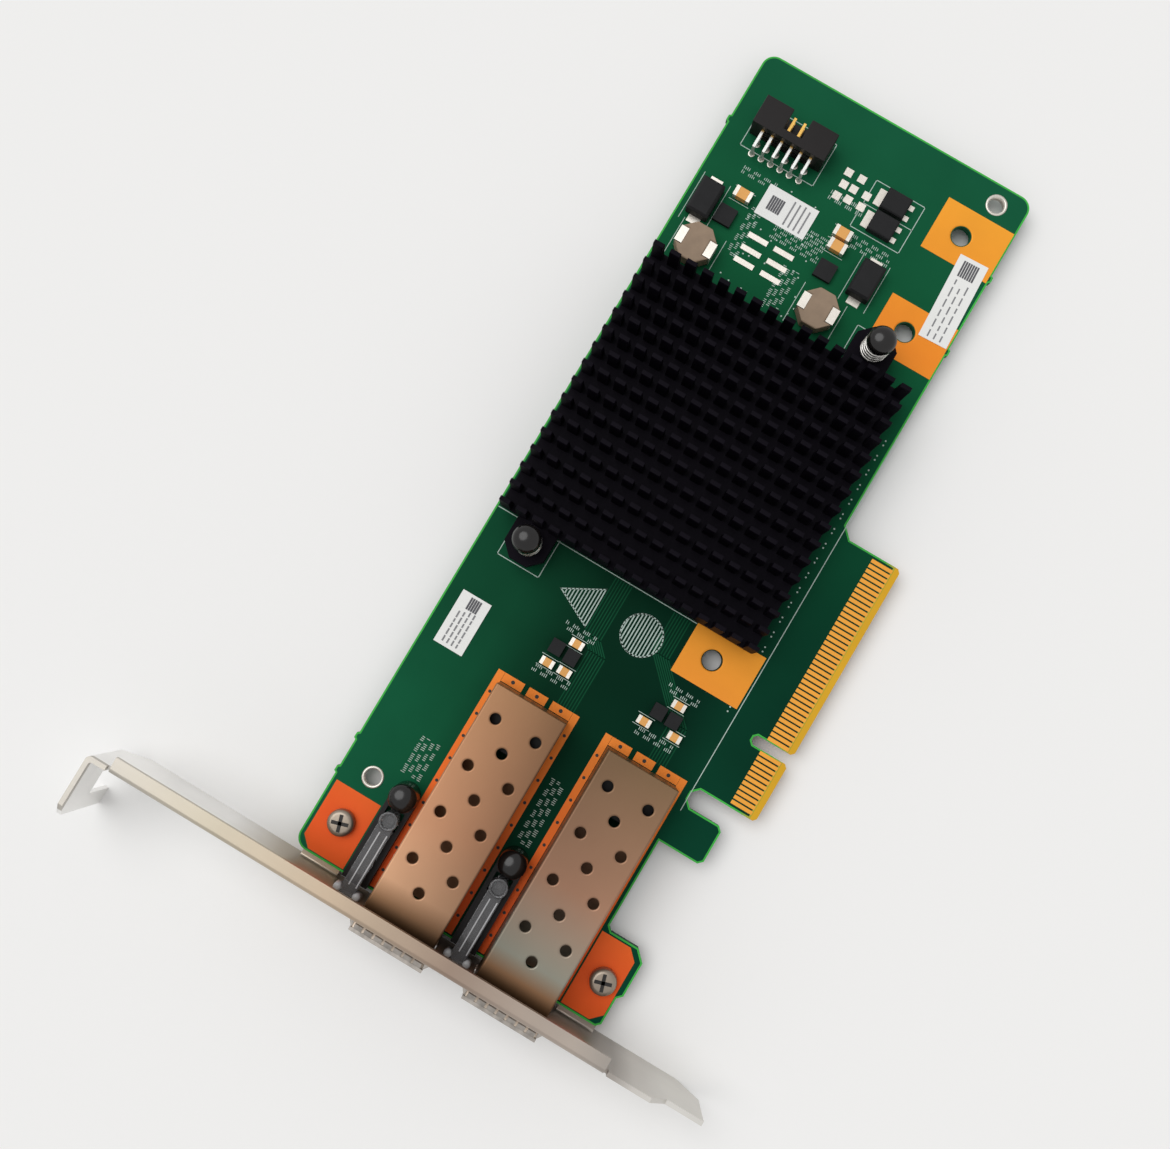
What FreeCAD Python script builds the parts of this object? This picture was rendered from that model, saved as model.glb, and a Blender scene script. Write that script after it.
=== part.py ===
import FreeCAD, Part
import math
import os

import Sketcher
from FreeCAD import Placement, Rotation, Vector

# A dual-port network card for an eight-lane edge connector, with a full-height bracket.
# +X runs from the bracket to the far end of the board, +Y from the edge contacts to the
# board's top edge, and +Z out of the component side. The origin is the middle of the key
# notch on the contact edge, on the solder side of the board.

# Name, millimetres, meaning.
SIZES = [
    ("board_thick", 1.57, "laminate thickness"),
    ("board_front", -57.7, "board edge beside the bracket, x"),
    ("board_rear", 110.6, "far end of the board, x"),
    ("board_top", 68.9, "top edge of the board, y"),
    ("board_foot", 12.7, "lower edge of the board behind the connector, y"),
    ("board_corner", 2.5, "radius of the board's outer corners"),
    ("key_half", 0.95, "half width of the key notch"),
    ("key_depth", 7.9, "depth of the key notch"),
    ("long_tongue", 38.65, "width of the tongue behind the key"),
    ("short_tongue", 11.65, "width of the tongue in front of the key"),
    ("tongue_corner", 0.6, "radius of the tongue's lower corners"),
    ("bevel_rise", 1.2, "height of the bevel on the contact edge"),
    ("bevel_deep", 0.4, "depth of the bevel on each side"),
    ("hook_gap", 3.8, "slot between the short tongue and the hook"),
    ("hook_width", 7.7, "width of the retention hook"),
    ("hook_tip", 4.4, "lower end of the hook, y"),
    ("ear_rear", -42.2, "rear side of the lower board ear, x"),
    ("ear_tip", 4.7, "lower end of the board ear, y"),
    ("ear_radius", 2.8, "corner radius of the board ear"),
    ("ear_step", 0.9, "step in the lower edge between the board ear and its front corner"),
    ("ear_length", 8.6, "length of the board ear's lower edge"),
    ("waist_rise", 0.4, "how far the edge between ear and hook lies above the lower edge"),
    ("waist_drop", 0.2, "how far the hook's slot reaches below the lower edge"),
    ("hook_radius", 1.2, "corner radius of the hook and of its slot"),
    ("stub_wide", 2.0, "width of a snapped-off panel stub at the board edge"),
    ("stub_rise", 0.4, "how far a panel stub stands out of the board edge"),
    ("stub_1", 14.6, "first stub on the top edge from the far end"),
    ("stub_2", 146.3, "second stub on the top edge from the far end"),
    ("stub_3", 153.1, "third stub on the top edge from the far end"),
    ("stub_4", 16.5, "first stub on the lower edge from the far end"),
    ("stub_5", 32.2, "second stub on the lower edge from the far end"),
    ("contact_pitch", 1.0, "pitch of the edge contacts"),
    ("contact_width", 0.7, "width of an edge contact"),
    ("contact_length", 4.3, "length of an edge contact above the bevel"),
    ("contact_first", 1.5, "first contact from the middle of the key"),
    ("contact_front", 11, "contacts in front of the key"),
    ("contact_rear", 38, "contacts behind the key"),
    ("gold_thick", 0.05, "thickness of the bare gold areas"),
    ("screw_upper_y", 63.3, "upper bracket screw, y"),
    ("screw_lower_y", 9.2, "lower bracket screw, y"),
    ("screw_x", -50.2, "both bracket screws, x"),
    ("screw_hole", 3.0, "board hole for a bracket screw"),
    ("spare_hole", 3.6, "diameter of the three open fixing holes"),
    ("spare_y", 21.2, "open fixing holes, y"),
    ("spare_first_x", 8.3, "fixing hole beside the key, x"),
    ("spare_second_x", 77.7, "middle fixing hole, x"),
    ("spare_third_x", 98.4, "rear fixing hole, x"),
    ("spare_pad_x", 10.6, "length of a fixing pad"),
    ("spare_pad_top", 26.7, "upper side of a fixing pad, y"),
    ("pad_margin", 0.3, "margin of a fixing pad round its hole and beside the board edge"),
    ("screw_pad_x", 13.0, "length of the gold pad under a bracket screw"),
    ("screw_pad_upper", 9.2, "width of the upper screw pad"),
    ("screw_pad_lower", 7.7, "width of the lower screw pad"),
    ("screw_pad_round", 1.9, "rounded outer corners of the screw pads"),
    ("screw_shank", 2.5, "diameter of a bracket screw's shank"),
    ("screw_point", 0.9, "length of a bracket screw below the ear"),
    ("screw_head", 4.9, "diameter of a bracket screw's head"),
    ("screw_head_high", 1.9, "height of a bracket screw's head"),
    ("tool_hole", 3.1, "diameter of the tooling holes"),
    ("tool_ring", 4.1, "outer diameter of the ring round a tooling hole"),
    ("tool_front_x", -40.6, "front tooling hole, x"),
    ("tool_front_y", 62.7, "front tooling hole, y"),
    ("tool_rear_x", 106.8, "rear tooling hole, x"),
    ("tool_rear_y", 18.5, "rear tooling hole, y"),
    ("sheet_bracket", 0.86, "bracket sheet thickness"),
    ("bracket_inner", -59.3, "inner face of the bracket, x"),
    ("bracket_low", -2.54, "solder-side edge of the bracket, z"),
    ("bracket_wide", 18.42, "bracket width"),
    ("bracket_top", 104.3, "outer face of the screw tab, y"),
    ("bracket_bend", 0.5, "inner bend radius of the bracket"),
    ("bend_relief", 0.6, "relief notch at each end of the lip's bend"),
    ("tab_length", 11.43, "length of the screw tab"),
    ("tab_slot", 4.42, "width of the screw slot"),
    ("tab_slot_x", 5.2, "middle of the screw slot from the bracket's outer face"),
    ("tab_slot_deep", 8.6, "depth of the screw slot from the solder-side edge"),
    ("tab_clip", 2.0, "cut corner at the tab's far end"),
    ("tab_trim", 5.0, "cut corner beside the tab's bend"),
    ("lip_width", 2.9, "width of the stiffening lip, over the outer face"),
    ("lip_start", 3.5, "lower end of the lip, y"),
    ("lip_end", 99.9, "upper end of the lip, y"),
    ("tail_step", -5.4, "start of the tail's step, y"),
    ("tail_fall", 3.2, "length of the tail's slanted step"),
    ("tail_trim", 4.1, "how much narrower the tail is below the step"),
    ("tail_end", -15.7, "tip of the tail, y"),
    ("tail_chamfer", 4.2, "cut corner at the tail's tip"),
    ("foot_length", 14.6, "length of a bracket ear under the board"),
    ("foot_upper_y", 59.3, "lower side of the upper bracket ear, y"),
    ("foot_wide", 7.6, "width of a bracket ear"),
    ("foot_trim", 1.5, "cut corner of a bracket ear"),
    ("foot_lower_y", 6.0, "lower side of the lower bracket ear, y"),
    ("port_gap", 0.3, "clearance round a cage in the bracket"),
    ("cage_first_y", 44.85, "middle of the upper cage, y"),
    ("cage_pitch", 22.35, "distance between the cages' middles"),
    ("cage_width", 14.0, "outside width of a cage"),
    ("cage_high", 9.8, "outside height of a cage"),
    ("cage_rear", -14.3, "rear end of the cages, x"),
    ("cage_length", 48.5, "length of a cage"),
    ("cage_sheet", 0.25, "cage sheet thickness"),
    ("vent_diameter", 2.0, "diameter of a ventilation hole"),
    ("vent_first", 5.4, "first outer vent from the cage's rear end"),
    ("vent_pitch", 9.13, "pitch of the ventilation holes"),
    ("vent_side", 4.0, "outer vents from the cage's middle line"),
    ("vent_rows", 4, "ventilation holes in a line"),
    ("cage_pin_pairs", 2, "pairs of pins under a cage"),
    ("cage_pin_first", 4.6, "first pair of cage pins from the cage's rear end"),
    ("cage_pin_pitch", 27.4, "pitch of the cage pins"),
    ("tail_pin_wide", 0.8, "width of a cage pin"),
    ("tail_pin_long", 1.4, "length of a cage pin below the board"),
    ("tail_pin_hole", 1.05, "board hole for a cage pin"),
    ("frame_side", 1.35, "width of the gold frame beside a cage"),
    ("frame_rear", 1.7, "width of the gold frame behind a cage"),
    ("frame_gap", 0.1, "gap between a cage and its gold frame"),
    ("frame_span", 7.05, "half width of a gold frame's rear strip"),
    ("frame_part", 1.95, "half length of the middle rear part of a gold frame"),
    ("frame_split", 0.95, "gap between the rear parts of a gold frame"),
    ("host_gap", 0.6, "length of the host connector's leads"),
    ("host_deep", 9.2, "depth of the host connector"),
    ("host_wide", 10.4, "width of the host connector"),
    ("host_high", 6.0, "height of the host connector"),
    ("host_slot", 1.4, "height of the host connector's card slot"),
    ("host_leads", 3, "leads behind the host connector"),
    ("host_pitch", 2.8, "pitch of the host connector's leads"),
    ("collar_band", 0.6, "length of a collar's front band"),
    ("collar_wide", 15.8, "width over the spring fingers of a collar"),
    ("collar_sheet", 0.2, "collar sheet thickness"),
    ("finger_pitch", 1.95, "pitch of the spring fingers"),
    ("finger_wide", 1.45, "width of a spring finger"),
    ("pipe_shift", 11.0, "light pipe's middle from its cage's middle"),
    ("port_light", 4.0, "height of a light pipe's middle above the board"),
    ("light_hole", 3.4, "bracket hole for a light pipe"),
    ("pipe_nose", 2.8, "diameter of a light pipe in the bracket"),
    ("pipe_wide", 2.9, "width of a light pipe"),
    ("pipe_high", 2.8, "height of a light pipe"),
    ("lens_wide", 3.0, "diameter of the light pipe's lens"),
    ("lens_x", -44.8, "middle of the light pipe's lens, x"),
    ("holder_wide", 5.0, "width of the light pipe's holder"),
    ("holder_high", 2.5, "height of the light pipe's holder"),
    ("post_high", 4.2, "height of the holder's post below its dome"),
    ("post_x", -40.2, "middle of the holder's domed post, x"),
    ("post_wide", 4.8, "diameter of the holder's domed post"),
    ("sink_x", 39.5, "middle of the heat sink, x"),
    ("sink_y", 41.9, "middle of the heat sink, y"),
    ("sink_length", 53.6, "length of the heat sink's base"),
    ("sink_width", 51.6, "width of the heat sink's base"),
    ("sink_base", 2.5, "thickness of the heat sink's base"),
    ("sink_top", 12.6, "top of the heat sink's pins, z"),
    ("fin_count", 16, "fins side by side"),
    ("fin_root", 1.4, "thickness of a fin at its root"),
    ("fin_crest", 0.8, "thickness of a fin at its top"),
    ("row_count", 16, "rows that the cross cuts leave in each fin"),
    ("row_cut", 1.3, "width of a cross cut"),
    ("clip_front_x", 9.43, "front push pin, x"),
    ("clip_front_y", 59.93, "front push pin, y"),
    ("clip_rear_x", 70.26, "rear push pin, x"),
    ("clip_rear_y", 24.9, "rear push pin, y"),
    ("clip_ear", 8.0, "width of the heat sink's ear for a push pin"),
    ("clip_shaft", 2.9, "diameter of a push pin's shaft"),
    ("clip_gap", 0.15, "clearance round a push pin's shaft"),
    ("clip_head", 5.1, "diameter of a push pin's head"),
    ("clip_head_low", 12.9, "underside of a push pin's head, z"),
    ("clip_head_high", 2.6, "height of a push pin's head"),
    ("clip_barb", 3.9, "diameter of a push pin's barb"),
    ("clip_barb_long", 1.6, "length of a push pin's barb below the board"),
    ("spring_outer", 5.1, "outer diameter of a push-pin spring"),
    ("spring_wire", 0.5, "wire of a push-pin spring"),
    ("spring_turns", 4.5, "turns of a push-pin spring"),
    ("spring_facets", 4, "straight runs in each turn of a spring"),
    ("chip_side", 25.0, "side of the controller chip"),
    ("chip_high", 2.2, "height of the controller chip"),
    ("die_side", 17.0, "side of the controller chip's lid"),
    ("die_step", 0.8, "height of the lid above the chip's substrate"),
    ("pad_thick", 0.3, "thickness of the thermal pad"),
    ("header_y", 57.0, "middle of the header, y"),
    ("header_pitch", 2.0, "pitch of the header pins"),
    ("header_pins", 6, "pins in each row of the header"),
    ("header_rear", 101.0, "mating face of the header, x"),
    ("header_deep", 5.6, "depth of the header's housing"),
    ("header_wide", 14.8, "width of the header's housing"),
    ("header_high", 5.4, "height of the header's housing"),
    ("header_wall", 0.8, "wall of the header's housing"),
    ("header_slot", 3.8, "width of the polarising slot"),
    ("header_pin", 0.5, "width of a square header pin"),
    ("header_reach", 3.2, "inner row of leads in front of the housing"),
    ("header_back", 1.6, "thickness of the header's rear wall"),
    ("header_level_1", 0.68, "height of the outer row of pins, as a share of the housing"),
    ("header_level_2", 0.32, "height of the inner row of pins, as a share of the housing"),
    ("terminal_thick", 0.2, "thickness of a component's terminal"),
    ("solder_thick", 0.1, "thickness of solder on an unused pad"),
    ("core_across", 7.2, "power inductor across its flats"),
    ("core_high", 3.4, "height of a power inductor's core"),
    ("lug_wide", 3.0, "width of a power inductor's terminal"),
    ("lug_deep", 1.5, "depth of a power inductor's terminal"),
    ("mould_long", 6.9, "length of a tantalum capacitor"),
    ("mould_wide", 4.4, "width of a tantalum capacitor"),
    ("mould_high", 2.7, "height of a tantalum capacitor"),
    ("mould_bevel", 0.45, "bevel of a tantalum capacitor's top"),
    ("mould_foot", 2.7, "length of a tantalum capacitor's foot"),
    ("mould_tab", 2.4, "width of a tantalum capacitor's terminal"),
    ("power_long", 4.1, "power transistor along the card"),
    ("power_wide", 4.8, "power transistor across the card"),
    ("power_high", 1.6, "height of a power transistor"),
    ("power_bevel", 0.25, "bevel of a power transistor's top"),
    ("power_lead", 1.0, "width of a power transistor's lead"),
    ("regulator_side", 3.5, "side of a regulator chip"),
    ("regulator_high", 0.9, "height of a regulator chip"),
    ("large_wide", 2.0, "width of a large capacitor"),
    ("large_long", 2.0, "ceramic length of a large capacitor"),
    ("large_high", 1.6, "height of a large capacitor"),
    ("large_end", 0.7, "metal end of a large capacitor"),
    ("filter_wide", 1.5, "width of a filter capacitor"),
    ("filter_long", 1.3, "ceramic length of a filter capacitor"),
    ("filter_high", 0.9, "height of a filter capacitor"),
    ("filter_end", 0.65, "metal end of a filter capacitor"),
    ("bead_long", 2.7, "length of a filter bead"),
    ("bead_wide", 2.5, "width of a filter bead"),
    ("bead_high", 1.5, "height of a filter bead"),
    ("bar_pad_wide", 1.0, "width of a bar-shaped solder pad"),
    ("bar_pad_long", 4.0, "length of a bar-shaped solder pad"),
    ("square_pad", 1.5, "side of a square solder pad"),
    ("label_thick", 0.1, "thickness of a paper label"),
    ("decouple_long", 1.0, "length of a capacitor under the board"),
    ("decouple_wide", 0.5, "width of a capacitor under the board"),
    ("decouple_pitch", 4.0, "pitch of the capacitors under the board"),
]

doc = FreeCAD.newDocument("NetworkCard")
sheet = doc.addObject("Spreadsheet::Sheet", "Sizes")
for row, (name, value, meaning) in enumerate(SIZES, start=1):
    sheet.set("A%d" % row, name)
    sheet.set("B%d" % row, str(value))
    sheet.setAlias("B%d" % row, name)
    sheet.set("C%d" % row, meaning)
doc.recompute()

NODES = []


def size(expression):
    """Value in millimetres of an expression written with the sheet's own names."""
    return float(sheet.evalExpression(expression))


def full(expression):
    """The same expression with each of the sheet's names written out in full."""
    words = []
    word = ""
    for letter in str(expression) + " ":
        if letter.isalnum() or letter in "_.":
            word += letter
            continue
        words.append("Sizes." + word if word[:1].isalpha() and word in ALIASES else word)
        words.append(letter)
        word = ""
    return "".join(words).strip()


ALIASES = {name for name, value, meaning in SIZES}


def bind(part, **properties):
    """Ties properties of an object to the sheet; x, y and z are its place."""
    for name, expression in properties.items():
        target = {"x": "Placement.Base.x", "y": "Placement.Base.y", "z": "Placement.Base.z"}.get(name, name)
        part.setExpression(target, full(expression))
    return part


def node(part, label):
    """Marks an object as one of the card's pieces."""
    part.Label = label
    NODES.append(part)
    return part


def box(name, length, width, high, x, y, z):
    """Block from its lowest corner."""
    block = doc.addObject("Part::Box", name)
    return bind(block, Length=length, Width=width, Height=high, x=x, y=y, z=z)


def block(name, length, width, high, x, y, z):
    """Block from the middle of its underside."""
    corner_x = "(%s) - (%s) / 2" % (x, length)
    corner_y = "(%s) - (%s) / 2" % (y, width)
    return box(name, length, width, high, corner_x, corner_y, z)


def cut(name, base, tool):
    """What is left of one object after another is taken out."""
    result = doc.addObject("Part::Cut", name)
    result.Base = base
    result.Tool = tool
    return result


def fuse(name, shapes):
    """Several touching objects as one solid."""
    result = doc.addObject("Part::MultiFuse", name)
    result.Shapes = shapes
    result.Refine = True
    return result


def group(name, shapes):
    """Several separate solids as one object."""
    result = doc.addObject("Part::Compound", name)
    result.Links = shapes
    return result


def body(name):
    """Empty PartDesign body."""
    return doc.addObject("PartDesign::Body", name)


def sketch(owner, name, role, offset="0"):
    """Sketch on one of the body's own origin planes, moved along the plane's normal."""
    drawing = owner.newObject("Sketcher::SketchObject", name)
    for feature in owner.Origin.OriginFeatures:
        if feature.Role == role:
            drawing.AttachmentSupport = [(feature, "")]
    drawing.MapMode = "FlatFace"
    drawing.setExpression("AttachmentOffset.Base.z", full(offset))
    return drawing


def tie(drawing, geometry, point, x, y):
    """Holds a point of a sketch at two expressions."""
    for kind, expression in (("DistanceX", x), ("DistanceY", y)):
        index = drawing.addConstraint(
            Sketcher.Constraint(kind, -1, 1, geometry, point, size(expression)))
        drawing.setExpression("Constraints[%d]" % index, full(expression))


def outline(drawing, points):
    """Closed outline through pairs of expressions."""
    places = [Vector(size(x), size(y), 0) for x, y in points]
    first = drawing.GeometryCount
    for here, there in zip(places, places[1:] + places[:1]):
        drawing.addGeometry(Part.LineSegment(here, there))
    for step in range(len(points)):
        after = first + (step + 1) % len(points)
        drawing.addConstraint(Sketcher.Constraint("Coincident", first + step, 2, after, 1))
    for step, (x, y) in enumerate(points):
        tie(drawing, first + step, 1, x, y)


def ring(drawing, diameter, x, y):
    """Circle held at two expressions."""
    middle = Vector(size(x), size(y), 0)
    circle = drawing.addGeometry(Part.Circle(middle, Vector(0, 0, 1), size(diameter) / 2))
    index = drawing.addConstraint(Sketcher.Constraint("Diameter", circle, size(diameter)))
    drawing.setExpression("Constraints[%d]" % index, full(diameter))
    tie(drawing, circle, 3, x, y)


def pad(owner, name, drawing, length):
    """Pad along the sketch's normal."""
    solid = owner.newObject("PartDesign::Pad", name)
    solid.Profile = drawing
    solid.setExpression("Length", full(length))
    doc.recompute()
    return solid


def pocket(owner, name, drawing, depth):
    """Pocket against the sketch's normal, which must take material away."""
    before = owner.Tip.Shape.Volume
    hollow = owner.newObject("PartDesign::Pocket", name)
    hollow.Profile = drawing
    hollow.setExpression("Length", full(depth))
    doc.recompute()
    if not hollow.Shape.Volume < before:
        raise RuntimeError(name + " takes nothing away")
    return hollow


def row_of(owner, name, feature, drawing, pitch, count):
    """Copies of a feature along the sketch's horizontal axis."""
    pattern = owner.newObject("PartDesign::LinearPattern", name)
    pattern.Originals = [feature]
    pattern.Direction = (drawing, ["H_Axis"])
    pattern.setExpression("Length", full("(%s) * (%s - 1)" % (pitch, count)))
    pattern.setExpression("Occurrences", full(count))
    owner.Tip = pattern
    doc.recompute()
    return pattern


def edges_where(solid, test):
    """Names of the edges whose middle point and direction pass a test."""
    names = []
    for index, edge in enumerate(solid.Shape.Edges, start=1):
        if edge.Curve.TypeId != "Part::GeomLine":
            continue
        run = edge.Vertexes[-1].Point - edge.Vertexes[0].Point
        if test(edge.CenterOfMass, run):
            names.append("Edge%d" % index)
    return names


def near(value, expression):
    """Whether a number lies at an expression."""
    return abs(value - size(expression)) < 0.01


def upright(run):
    """Whether an edge runs along Z."""
    return abs(run.x) + abs(run.y) < 1e-6


def fillet(owner, name, solid, edges, radius):
    """Rounds edges."""
    if not edges:
        raise RuntimeError(name + " has no edges")
    rounding = owner.newObject("PartDesign::Fillet", name)
    rounding.Base = (solid, edges)
    rounding.setExpression("Radius", full(radius))
    owner.Tip = rounding
    doc.recompute()
    return rounding


def prism(name, sides, across, high, x, y, z):
    """Upright many-sided bar from the middle of its underside, measured across its flats."""
    bar = doc.addObject("Part::Prism", name)
    bar.Polygon = sides
    bind(bar, Circumradius="(%s) / 2 / cos(180 deg / %d)" % (across, sides), Height=high, x=x, y=y, z=z)
    bar.Placement.Rotation = Rotation(Vector(0, 0, 1), 180 / sides)
    return bar


def many_sided(drawing, sides, across, x, y):
    """Closed ring of straight edges round a circle, held at two expressions."""
    points = []
    for step in range(sides):
        angle = (step + 0.5) * 2 * math.pi / sides
        reach = 0.5 / math.cos(math.pi / sides)
        points.append(("(%s) + (%s) * %.5f" % (x, across, reach * math.cos(angle)),
                       "(%s) + (%s) * %.5f" % (y, across, reach * math.sin(angle))))
    outline(drawing, points)


def trimmed(name, base, corners, width):
    """Block with some of its upright edges cut off; a corner is a pair of expressions."""
    doc.recompute()
    result = doc.addObject("Part::Chamfer", name)
    result.Base = base
    reach = size(width)
    wanted = [(size(x), size(y)) for x, y in corners]
    chosen = []
    for number, edge in enumerate(base.Shape.Edges, start=1):
        run = edge.Vertexes[-1].Point - edge.Vertexes[0].Point
        middle = edge.CenterOfMass
        if upright(run) and any(math.hypot(middle.x - x, middle.y - y) < 0.01 for x, y in wanted):
            chosen.append((number, reach, reach))
    result.Edges = chosen
    return result


def top_bevel(name, base, width):
    """Block whose upper edges are cut off at a slant."""
    doc.recompute()
    result = doc.addObject("Part::Chamfer", name)
    result.Base = base
    top = base.Shape.BoundBox.ZMax
    reach = size(width)
    result.Edges = [(number, reach, reach) for number, edge in enumerate(base.Shape.Edges, start=1)
                    if abs(edge.CenterOfMass.z - top) < 0.01]
    return result


def chamfer(owner, name, solid, edges, width):
    """Cuts edges off at a slant."""
    if not edges:
        raise RuntimeError(name + " has no edges")
    slant = owner.newObject("PartDesign::Chamfer", name)
    slant.Base = (solid, edges)
    slant.setExpression("Size", full(width))
    owner.Tip = slant
    doc.recompute()
    return slant


# --- Shared places ---------------------------------------------------------------------

CAGE_YS = ("cage_first_y", "cage_first_y - cage_pitch")
SCREWS = (("screw_x", "screw_upper_y"), ("screw_x", "screw_lower_y"))
SPARE_HOLES = tuple((x, "spare_y") for x in ("spare_first_x", "spare_second_x", "spare_third_x"))
TOOL_HOLES = (("tool_front_x", "tool_front_y"), ("tool_rear_x", "tool_rear_y"))
CLIPS = (("clip_front_x", "clip_front_y"), ("clip_rear_x", "clip_rear_y"))
# Each snapped-off stub: its distance from the far end, the edge it stands on and which way.
STUBS = (("stub_1", "board_top", 1), ("stub_2", "board_top", 1), ("stub_3", "board_top", 1),
         ("stub_4", "board_foot", -1), ("stub_5", "board_foot", -1))
PLATE_OUTER = "(bracket_inner - sheet_bracket)"
CAGE_FRONT = "(cage_rear - cage_length)"
SINK_LOW = "(board_thick + chip_high + pad_thick)"
SINK_FLOOR = "(board_thick + chip_high + pad_thick + sink_base)"


def pin_places(middle):
    """Cage pins that pass through the board, in pairs along the cage's sides."""
    places = []
    for step in range(int(size("cage_pin_pairs"))):
        x = "cage_rear - cage_pin_first - %d * cage_pin_pitch" % step
        places.append((x, "(%s) + (cage_width - cage_sheet) / 2" % middle))
        places.append((x, "(%s) - (cage_width - cage_sheet) / 2" % middle))
    return places


def header_leads():
    """Places where the header's leads pass through the board."""
    places = []
    for row in (0, 1):
        for pin in range(int(size("header_pins"))):
            x = "header_rear - header_deep - header_reach + %s * header_pitch" % row
            y = "header_y + (%s - (header_pins - 1) / 2) * header_pitch" % pin
            places.append((x, y))
    return places


# --- Circuit board ---------------------------------------------------------------------

def make_board():
    """One routed laminate with its tongues, key notch, hook, ears and holes."""
    board = body("BoardBody")
    plan = sketch(board, "BoardOutline", "XY_Plane")
    hook_rear = "-key_half - short_tongue - hook_gap"
    hook_front = hook_rear + " - hook_width"
    points = [
        ("key_half", "0"),
        ("key_half + long_tongue", "0"),
        ("key_half + long_tongue", "board_foot"),
        ("board_rear", "board_foot"),
        ("board_rear", "board_top"),
        ("board_front", "board_top"),
        ("board_front", "ear_tip + ear_step"),
        ("ear_rear - ear_length - ear_step", "ear_tip + ear_step"),
        ("ear_rear - ear_length", "ear_tip"),
        ("ear_rear", "ear_tip"),
        ("ear_rear", "board_foot + waist_rise"),
        (hook_front, "board_foot + waist_rise"),
        (hook_front, "hook_tip"),
        (hook_rear, "hook_tip"),
        (hook_rear, "board_foot - waist_drop"),
        ("-key_half - short_tongue", "board_foot - waist_drop"),
        ("-key_half - short_tongue", "0"),
        ("-key_half", "0"),
        ("-key_half", "key_depth"),
        ("key_half", "key_depth"),
    ]
    outline(plan, points)
    slab = pad(board, "BoardPad", plan, "board_thick")

    def corners(*places):
        wanted = [(size(x), size(y)) for x, y in places]
        return lambda middle, run: upright(run) and any(
            math.hypot(middle.x - x, middle.y - y) < 0.01 for x, y in wanted)

    outer = edges_where(slab, corners(points[3], points[4], points[5]))
    slab = fillet(board, "BoardCorners", slab, outer, "board_corner")
    ears = edges_where(slab, corners(points[9], points[2]))
    slab = chamfer(board, "EarCorners", slab, ears, "ear_radius * 0.7")
    inner = edges_where(slab, corners(points[10], points[6], points[12], points[13]))
    slab = chamfer(board, "HookCorners", slab, inner, "hook_radius * 0.7")
    slot = edges_where(slab, corners(points[14], points[15]))
    slab = chamfer(board, "SlotRoot", slab, slot, "hook_radius")
    tips = edges_where(slab, corners(points[0], points[1], points[16], points[17]))
    slab = chamfer(board, "TongueCorners", slab, tips, "tongue_corner")
    roots = edges_where(slab, corners(points[18], points[19]))
    slab = chamfer(board, "KeyRoot", slab, roots, "key_half * 0.6")

    drills = sketch(board, "BoardHoles", "XY_Plane", "board_thick")
    for x, y in SPARE_HOLES:
        ring(drills, "spare_hole", x, y)
    pocket(board, "BoardDrilling", drills, "board_thick")

    stubs = sketch(board, "PanelStubs", "XY_Plane")
    for name, edge, outward in STUBS:
        x = "board_rear - %s" % name
        outline(stubs, [
            ("%s - stub_wide / 2" % x, "%s - %d * stub_rise" % (edge, outward)),
            ("%s + stub_wide / 2" % x, "%s - %d * stub_rise" % (edge, outward)),
            ("%s + stub_wide / 4" % x, "%s + %d * stub_rise" % (edge, outward)),
            ("%s - stub_wide / 4" % x, "%s + %d * stub_rise" % (edge, outward)),
        ])
    pad(board, "StubPad", stubs, "board_thick")

    # The bevel is a wedge taken off each side of the contact edge.
    for name, high in (("UpperBevel", "board_thick"), ("LowerBevel", "0")):
        wedge = sketch(board, name + "Profile", "YZ_Plane", "-key_half - short_tongue - 0.5")
        inward = "board_thick - bevel_deep" if name == "UpperBevel" else "bevel_deep"
        outline(wedge, [("-0.01", high), ("bevel_rise", high), ("-0.01", inward)])
        hollow = board.newObject("PartDesign::Pocket", name)
        hollow.Profile = wedge
        hollow.Reversed = True
        hollow.setExpression("Length", full("short_tongue + 2 * key_half + long_tongue + 1"))
        doc.recompute()

    holes = []
    for index, (x, y) in enumerate(SCREWS):
        holes.append(prism("ScrewHole%d" % index, 8, "screw_hole", "board_thick", x, y, "0"))
    for index, (x, y) in enumerate(TOOL_HOLES):
        holes.append(prism("ToolHole%d" % index, 8, "tool_hole", "board_thick", x, y, "0"))
    for index, (x, y) in enumerate(CLIPS):
        holes.append(prism("ClipHole%d" % index, 8, "clip_shaft + 2 * clip_gap", "board_thick", x, y, "0"))
    for cage, middle in enumerate(CAGE_YS):
        for index, (x, y) in enumerate(pin_places(middle)):
            holes.append(prism("CagePinHole%d%d" % (cage, index), 4, "tail_pin_hole", "board_thick", x, y, "0"))
    node(cut("BoardDrilled", board, group("BoardDrills", holes)), "circuit_board")


def make_contacts():
    """Gold fingers on both sides of the tongues."""
    for label, z in (("edge_contacts_front", "board_thick"), ("edge_contacts_back", "-gold_thick")):
        fingers = []
        for step in range(int(size("contact_rear"))):
            fingers.append("contact_first + %d * contact_pitch" % step)
        for step in range(int(size("contact_front"))):
            fingers.append("-contact_first - %d * contact_pitch" % step)
        solids = []
        for index, x in enumerate(fingers):
            middle = "bevel_rise + 0.1 + contact_length / 2"
            name = "Finger%s%d" % ("Front" if label.endswith("front") else "Back", index)
            solids.append(block(name, "contact_width", "contact_length", "gold_thick", x, middle, z))
        node(group(label + "_group", solids), label)


# --- Bare gold areas -------------------------------------------------------------------

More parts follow.
